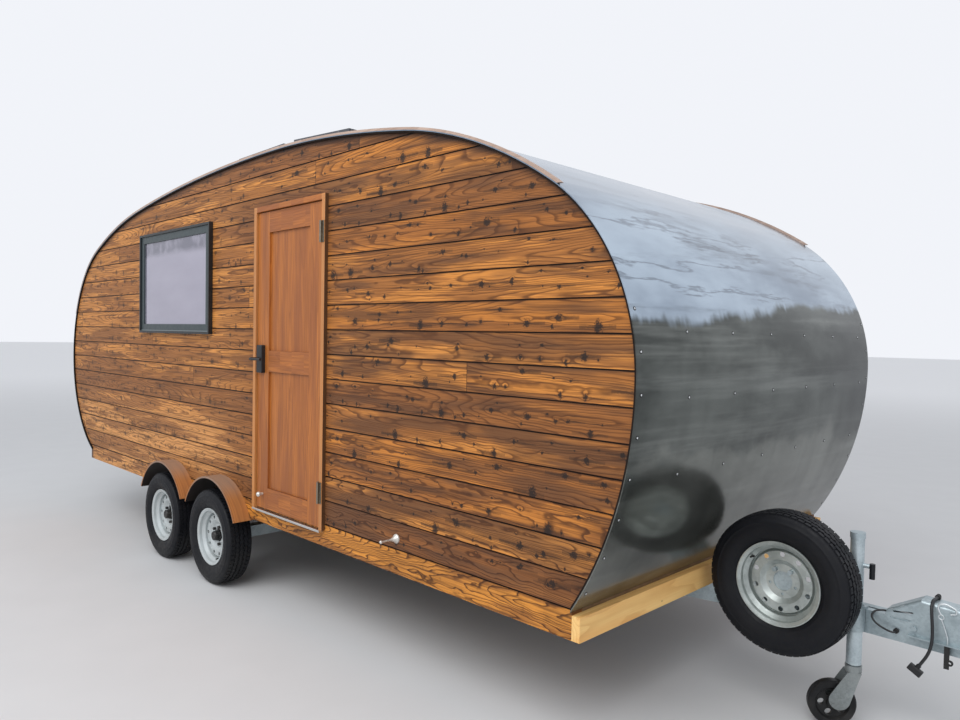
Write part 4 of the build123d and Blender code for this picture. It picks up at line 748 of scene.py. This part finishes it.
# Painted shadow under the roof's edge, strongest towards the crown.
eave_shadow = times(tree, ramp(tree, depth, 0.012, 0.060, 0.86, 0.0), ramp(tree, parts["Z"], 1.75, 2.5, 0.1, 1.0))
colour = blend(tree, eave_shadow, colour, tone(36, 24, 20))
relief = minus(tree, wood["Fibre"], plus(tree, wood["Ring"], joint))
put(tree, shader, Base_Color=colour, Roughness=ramp(tree, wood["Fibre"], 0.3, 0.7, 0.46, 0.6), IOR=1.3,
    Coat_Weight=0.02, Coat_Roughness=0.35, Normal=bump(tree, relief, 0.0006, 0.7))
give(material, "wall_door_side", "wall_far_side")


# Fenders: strips of thin ply bent over each wheel and screwed to the wall, stained brown, with a
# painted sky reflection greying their crests, and their undersides near black.
WHEEL_Z = 0.3
FENDER_RADIUS = 0.385
UNDERSIDE = 0.3745
PLY = 0.003
front_x, rear_x = middle("hub_front_door_side").x, middle("hub_rear_door_side").x
material, tree, shader, place = finish("fender_wood")
parts = axes(tree, place)
ahead = calc(tree, "GREATER_THAN", parts["X"], (front_x + rear_x) / 2)
out = minus(tree, parts["X"], calc(tree, "MULTIPLY_ADD", ahead, front_x - rear_x, rear_x))
over = minus(tree, parts["Z"], WHEEL_Z)
round_it = times(tree, calc(tree, "ARCTAN2", over, out), FENDER_RADIUS)
reach = calc(tree, "SQRT", plus(tree, times(tree, out, out), times(tree, over, over)))
turned = point(tree, round_it, parts["Y"], reach)
wood = use(tree, wood_grain, {"Place": turned, "Seed": 11.0, "Rings": 20.0, "Wave": 0.1})
colour = blend(tree, wood["Ring"], tone(186, 122, 66), tone(158, 100, 54))
colour = blend(tree, ramp(tree, wood["Patch"], 0.3, 0.7, 0.0, 0.5), colour, tone(134, 88, 52))
crest = calc(tree, "DIVIDE", over, reach)
# Painted sky reflection: the crests turn grey where they face up.
colour = blend(tree, ramp(tree, crest, 0.7, 0.98, 0.0, 0.6), colour, tone(142, 130, 120))
plies = calc(tree, "FRACT", calc(tree, "DIVIDE", reach, PLY))
colour = blend(tree, ramp(tree, plies, 0.4, 0.6, 0.0, 0.15), colour, tone(90, 58, 38))
colour = blend(tree, ramp(tree, reach, UNDERSIDE - 0.0007, UNDERSIDE + 0.0007), tone(34, 26, 22), colour)
put(tree, shader, Base_Color=colour, Roughness=0.5,
    Normal=bump(tree, plus(tree, wood["Ring"], wood["Fibre"]), 0.0003))
give(material, "fenders_door_side", "fenders_far_side")


# Windows: dark grey painted frames clamped through the wall, each with one tinted acrylic pane
# whose colour is a painted sky reflection. A painted highlight runs along the foot of the frame.
material, tree, shader, place = finish("window_frame")
parts = axes(tree, place)
low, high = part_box("window_frame_door_side")
RIM_WIDTH = 0.0165
HIGHLIGHT_LOW, HIGHLIGHT_HIGH = low[2] + 0.017, low[2] + 0.022
margins = []
for n, axis in ((0, "X"), (2, "Z")):
    off_middle = calc(tree, "ABSOLUTE", minus(tree, parts[axis], (low[n] + high[n]) / 2))
    margins.append(minus(tree, (high[n] - low[n]) / 2, off_middle))
rim = calc(tree, "LESS_THAN", calc(tree, "MINIMUM", *margins), RIM_WIDTH)
# Painted highlight: a pale line along the lip at the foot of the frame.
ledge_highlight = times(tree, calc(tree, "GREATER_THAN", parts["Z"], HIGHLIGHT_LOW),
              calc(tree, "LESS_THAN", parts["Z"], HIGHLIGHT_HIGH))
paint_and_highlight = blend(tree, ledge_highlight, tone(50, 62, 64), tone(132, 142, 144))
paint_and_highlight = blend(tree, rim, paint_and_highlight, tone(22, 26, 28))
dirt = use(tree, road_dust, {"Place": place, "Amount": 0.15, "Height": 2.0})
put(tree, shader, Roughness=ramp(tree, dirt["Grime"], 0, 1, 0.32, 0.42),
    Normal=bump(tree, dirt["Grime"], 0.00005),
    Base_Color=blend(tree, dirt["Dust"], paint_and_highlight, tone(104, 104, 102)))
give(material, "window_frame_door_side", "window_frame_far_side")
DARK_HEAD_REFLECTION = 2.14, 2.2
material, tree, shader, place = finish("window_glass")
parts = axes(tree, place)
smear = noise(tree, stretch(tree, place, (3, 3, 9)), 1.0, 4.0)
# The pane's colour is painted reflection: pale sky, with darker patches towards its head.
pane_sky_reflection = blend(tree, smear, tone(172, 168, 184), tone(190, 186, 201))
top = times(tree, ramp(tree, parts["Z"], *DARK_HEAD_REFLECTION),
            ramp(tree, noise(tree, place, 9.0, 3.0), 0.35, 0.6, 0.3, 0.7))
put(tree, shader, Base_Color=blend(tree, top, pane_sky_reflection, tone(92, 92, 106)), IOR=1.5, Metallic=0.6,
    Roughness=ramp(tree, smear, 0.3, 0.7, 0.05, 0.09), Coat_Weight=0.4, Coat_Roughness=0.03)
give(material, "window_pane_door_side", "window_pane_far_side")


# Door: oiled softwood, two stiles and three rails round sunk panels, in a flat wooden trim over a
# metal sill. It hangs on two butt hinges at its front edge.
material, tree, shader, place = finish("door_wood")
parts = axes(tree, place)
leaf_low, leaf_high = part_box("door_leaf")
STILE, TOP_RAIL, LOCK_RAIL, BOTTOM_RAIL = 0.128, 0.121, (0.815, 0.939), 0.124
HEAD_GAP = 0.005


def within(tree, value, low, high, soft=0.0004):
    """1 between two values, 0 outside."""
    return times(tree, ramp(tree, value, low - soft, low + soft),
                 ramp(tree, value, high - soft, high + soft, 1.0, 0.0))


between = within(tree, parts["X"], leaf_low[0] + STILE, leaf_high[0] - STILE)
rails = 0.0
for rail_low, rail_high in ((leaf_low[2], leaf_low[2] + BOTTOM_RAIL),
                            (leaf_low[2] + LOCK_RAIL[0], leaf_low[2] + LOCK_RAIL[1]),
                            (leaf_high[2] - TOP_RAIL, leaf_high[2])):
    rails = calc(tree, "MAXIMUM", rails, within(tree, parts["Z"], rail_low, rail_high))
head = calc(tree, "GREATER_THAN", parts["Z"], leaf_high[2] + HEAD_GAP)
level = calc(tree, "MAXIMUM", times(tree, between, rails), head)
upright = point(tree, parts["Z"], parts["X"], parts["Y"])
lying = point(tree, parts["X"], parts["Z"], parts["Y"])
turned = add(tree, "ShaderNodeMix", {0: level, 4: upright, 5: lying}, data_type="VECTOR").outputs[1]
column = calc(tree, "FLOOR", calc(tree, "DIVIDE", minus(tree, parts["X"], leaf_low[0]), STILE))
seed = calc(tree, "MULTIPLY_ADD", level, 5.0, column)
wood = use(tree, wood_grain, {"Place": turned, "Seed": seed, "Rings": 20.0, "Wave": 0.1})
colour = blend(tree, times(tree, wood["Ring"], 0.7), tone(188, 112, 44), tone(146, 82, 32))
colour = blend(tree, ramp(tree, wood["Patch"], 0.35, 0.65, 0.0, 0.7), colour, tone(146, 82, 38))
colour = blend(tree, ramp(tree, wood["Fibre"], 0.4, 0.7, 0.0, 0.4), colour, tone(104, 60, 30))
colour = blend(tree, times(tree, wood["Streak"], 0.2), colour, tone(104, 60, 30))
change = calc(tree, "ABSOLUTE", calc(tree, "MULTIPLY_ADD", level, 2.0, -1.0))
colour = blend(tree, times(tree, minus(tree, 1.0, change), 0.6), colour, tone(84, 42, 22))
frame_part = calc(tree, "MAXIMUM", calc(tree, "LESS_THAN", parts["X"], leaf_low[0]),
                  calc(tree, "GREATER_THAN", parts["X"], leaf_high[0]))
colour = blend(tree, times(tree, frame_part, 0.35), colour, tone(230, 168, 104))
trim_low, trim_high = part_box("door_trim")
# Painted shadow: the trim's outer side faces are darkened.
SHADED_SIDE_WIDTH = 0.0008
shaded_side_face = calc(tree, "MAXIMUM", calc(tree, "GREATER_THAN", parts["X"], trim_high[0] - SHADED_SIDE_WIDTH),
                 calc(tree, "LESS_THAN", parts["X"], trim_low[0] + SHADED_SIDE_WIDTH))
colour = blend(tree, times(tree, shaded_side_face, 0.85), colour, tone(40, 26, 18))
put(tree, shader, Base_Color=colour, Roughness=ramp(tree, wood["Fibre"], 0.3, 0.7, 0.42, 0.56),
    Coat_Weight=0.04, Coat_Roughness=0.3,
    Normal=bump(tree, plus(tree, wood["Ring"], wood["Fibre"]), 0.0002))
give(material, "door_leaf", "door_trim")
material, tree, shader, place = finish("bright_aluminium")
streak = noise(tree, stretch(tree, place, (4, 300, 300)), 1.0, 2.0)
put(tree, shader, Metallic=1.0, Roughness=ramp(tree, streak, 0.3, 0.7, 0.25, 0.4),
    Base_Color=blend(tree, streak, tone(200, 200, 198), tone(224, 224, 222)))
give(material, "door_sill")
material, tree, shader, place = finish("knob_metal")
streak = noise(tree, place, 60.0, 3.0)
put(tree, shader, Metallic=0.55, Roughness=ramp(tree, streak, 0.3, 0.7, 0.24, 0.36),
    Base_Color=blend(tree, streak, tone(208, 205, 198), tone(226, 224, 218)))
give(material, "door_knob", "door_holdback")


# Roof and tail: two panels of dark cells in thin metal frames, on short feet bolted to the roof, and
# two round red lamps in black bodies screwed to the rear skin.
CELL = 0.125
material, tree, shader, place = finish("solar_panel")
parts = axes(tree, place)
lines = [minus(tree, calc(tree, "FRACT", calc(tree, "DIVIDE", parts[axis], CELL)), 0.5) for axis in "XY"]
lines = [ramp(tree, calc(tree, "ABSOLUTE", line), 0.485, 0.492) for line in lines]
cells = blend(tree, calc(tree, "MAXIMUM", *lines), tone(18, 22, 38), tone(120, 124, 130))
put(tree, shader, Base_Color=cells, Roughness=0.15, Coat_Weight=1.0, Coat_Roughness=0.05)
give(material, "solar_panels")
material, tree, shader, place = finish("lamp_red")
LENS_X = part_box("tail_lamps")[0][0] + 0.008
lens = ramp(tree, axes(tree, place)["X"], LENS_X - 0.0002, LENS_X + 0.0002, 1.0, 0.0)
put(tree, shader, Roughness=0.2, Coat_Weight=0.5,
    Base_Color=blend(tree, lens, tone(24, 24, 26), tone(168, 14, 16)))
give(material, "tail_lamps")


# Fasteners: pan-head screws with rubber washers hold the skin, small screws hold the hinges, and
# each rim has its rubber valve. One Geometry Nodes tree stands a head on every point.
tree, given, results = geometry_tree("fastener_heads", (
    ("Sides", "Int", 16), ("Radius", "Float", 0.004), ("Height", "Float", 0.0015), ("Dome", "Float", 0.3),
    ("Washer", "Float", 0.007), ("Head", "Material", None), ("Seal", "Material", None)))
heads_tree = tree
stem = add(tree, "GeometryNodeMeshCylinder", {
    "Vertices": given["Sides"], "Radius": given["Radius"], "Depth": given["Height"]})
stem = add(tree, "GeometryNodeTransform", {
    "Geometry": stem.outputs["Mesh"], "Translation": point(tree, z=times(tree, given["Height"], 0.5))})
cap = add(tree, "GeometryNodeMeshUVSphere", {
    "Segments": 16, "Rings": 8, "Radius": times(tree, given["Radius"], 0.85)})
cap = add(tree, "GeometryNodeTransform", {
    "Geometry": cap.outputs["Mesh"], "Translation": point(tree, z=given["Height"]),
    "Scale": point(tree, 1.0, 1.0, given["Dome"])})
washer = add(tree, "GeometryNodeMeshCylinder", {"Vertices": 20, "Radius": given["Washer"], "Depth": 0.0016})
flagged = add(tree, "GeometryNodeStoreNamedAttribute", {
    "Geometry": washer.outputs["Mesh"], "Name": "washer", "Value": True}, data_type="BOOLEAN", domain="FACE")
joined = add(tree, "GeometryNodeJoinGeometry")
for piece in (stem, cap, flagged):
    tree.links.new(piece.outputs[0], joined.inputs[0])
facing = add(tree, "GeometryNodeInputNamedAttribute", {"Name": "facing"}, data_type="FLOAT_VECTOR").outputs[0]
aim = add(tree, "FunctionNodeAlignRotationToVector", {"Vector": facing}, axis="Z").outputs[0]
stood = add(tree, "GeometryNodeInstanceOnPoints", {
    "Points": given["Geometry"], "Instance": joined.outputs[0], "Rotation": aim})
whole = add(tree, "GeometryNodeRealizeInstances", {"Geometry": stood.outputs[0]})
coat = add(tree, "GeometryNodeSetMaterial", {"Geometry": whole.outputs[0], "Material": given["Head"]})
marked = add(tree, "GeometryNodeInputNamedAttribute", {"Name": "washer"}, data_type="BOOLEAN").outputs[0]
coat = add(tree, "GeometryNodeSetMaterial", {
    "Geometry": coat.outputs[0], "Selection": marked, "Material": given["Seal"]})
feed(tree, results, {"Geometry": coat.outputs[0]})


def struck(start, towards, *names):
    """First point of some nodes on a line, with the direction that it faces there."""
    hits = [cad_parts[name].ray_cast(start, towards) for name in names]
    return min([(place, normal) for found, place, normal, _ in hits if found],
               key=lambda hit: (hit[0] - Vector(start)).length)


def faced(pairs):
    """A mesh of bare points, each with the direction that it faces."""
    mesh = bpy.data.meshes.new("points")
    mesh.from_pydata([place for place, _ in pairs], [], [])
    directions = mesh.attributes.new("facing", "FLOAT_VECTOR", "POINT")
    directions.data.foreach_set("vector", [value for _, facing in pairs for value in facing])
    return mesh


FAR_OUT = 6
SCREW_ROWS = (1.645, 1.395, 1.095)
SCREWS_ACROSS = [-0.825 + 0.375 * n for n in range(6)]
EDGE_SCREWS = [0.66 + 0.1515 * n for n in range(8)]
EDGE_Y = 1.158
spots = [(y, z) for z in SCREW_ROWS for y in SCREWS_ACROSS]
spots += [(y, z) for z in EDGE_SCREWS for y in (-EDGE_Y, EDGE_Y)]
places = [struck((FAR_OUT * end, y, z), (-end, 0, 0), *SHELL) for end in (1, -1) for y, z in spots]
material, tree, shader, place = finish("screw_steel")
wear = noise(tree, place, 300.0, 2.0)
put(tree, shader, Metallic=0.6, Roughness=ramp(tree, wear, 0.3, 0.7, 0.25, 0.4),
    Base_Color=blend(tree, wear, tone(214, 216, 218), tone(236, 238, 240)))
screw_steel = material
screw = {"Sides": 16, "Radius": 0.004, "Height": 0.0015, "Dome": 0.35, "Washer": 0.0075,
         "Head": screw_steel, "Seal": black_rubber}
grown("skin_screws", heads_tree, faced(places), screw, "trailer")

HINGES_Z = (0.759, 2.152)
small = dict(screw, Radius=0.0034, Height=0.0004, Dome=0.25, Washer=0.0036,
             Head=steel_hardware, Seal=steel_hardware)
for name, node, x, heights, body in (
        ("fixed", "door_hinges_fixed", 0.583, (-0.042, 0.0, 0.042), "trailer"),
        ("moving", "door_hinges_moving", 0.547, (0.014, 0.044), "door")):
    places = [struck((x, -2, middle_z + z), (0, 1, 0), node) for middle_z in HINGES_Z for z in heights]
    grown(f"hinge_screws_{name}", heads_tree, faced(places), small, body)

VALVE_RADIUS = 0.150
valve = dict(screw, Radius=0.0042, Height=0.026, Dome=0.5, Washer=0.0068,
             Head=black_rubber, Seal=black_rubber)
for label, turned_to in (("spare", 144), ("rear_door_side", 40), ("rear_far_side", 200),
                         ("front_door_side", 300), ("front_far_side", 100)):
    node, body = ("spare_rim", "trailer") if label == "spare" else (f"rim_{label}", f"wheel_{label}")
    side = 1 if label.endswith("far_side") else -1
    hub = middle(node)
    start = (hub.x + VALVE_RADIUS * cos(radians(turned_to)), FAR_OUT / 2 * side,
             hub.z + VALVE_RADIUS * sin(radians(turned_to)))
    place, _ = struck(start, (0, -side, 0), node)
    grown(f"valve_{label}", heads_tree, faced([(place, (0, side, 0))]), valve, body)
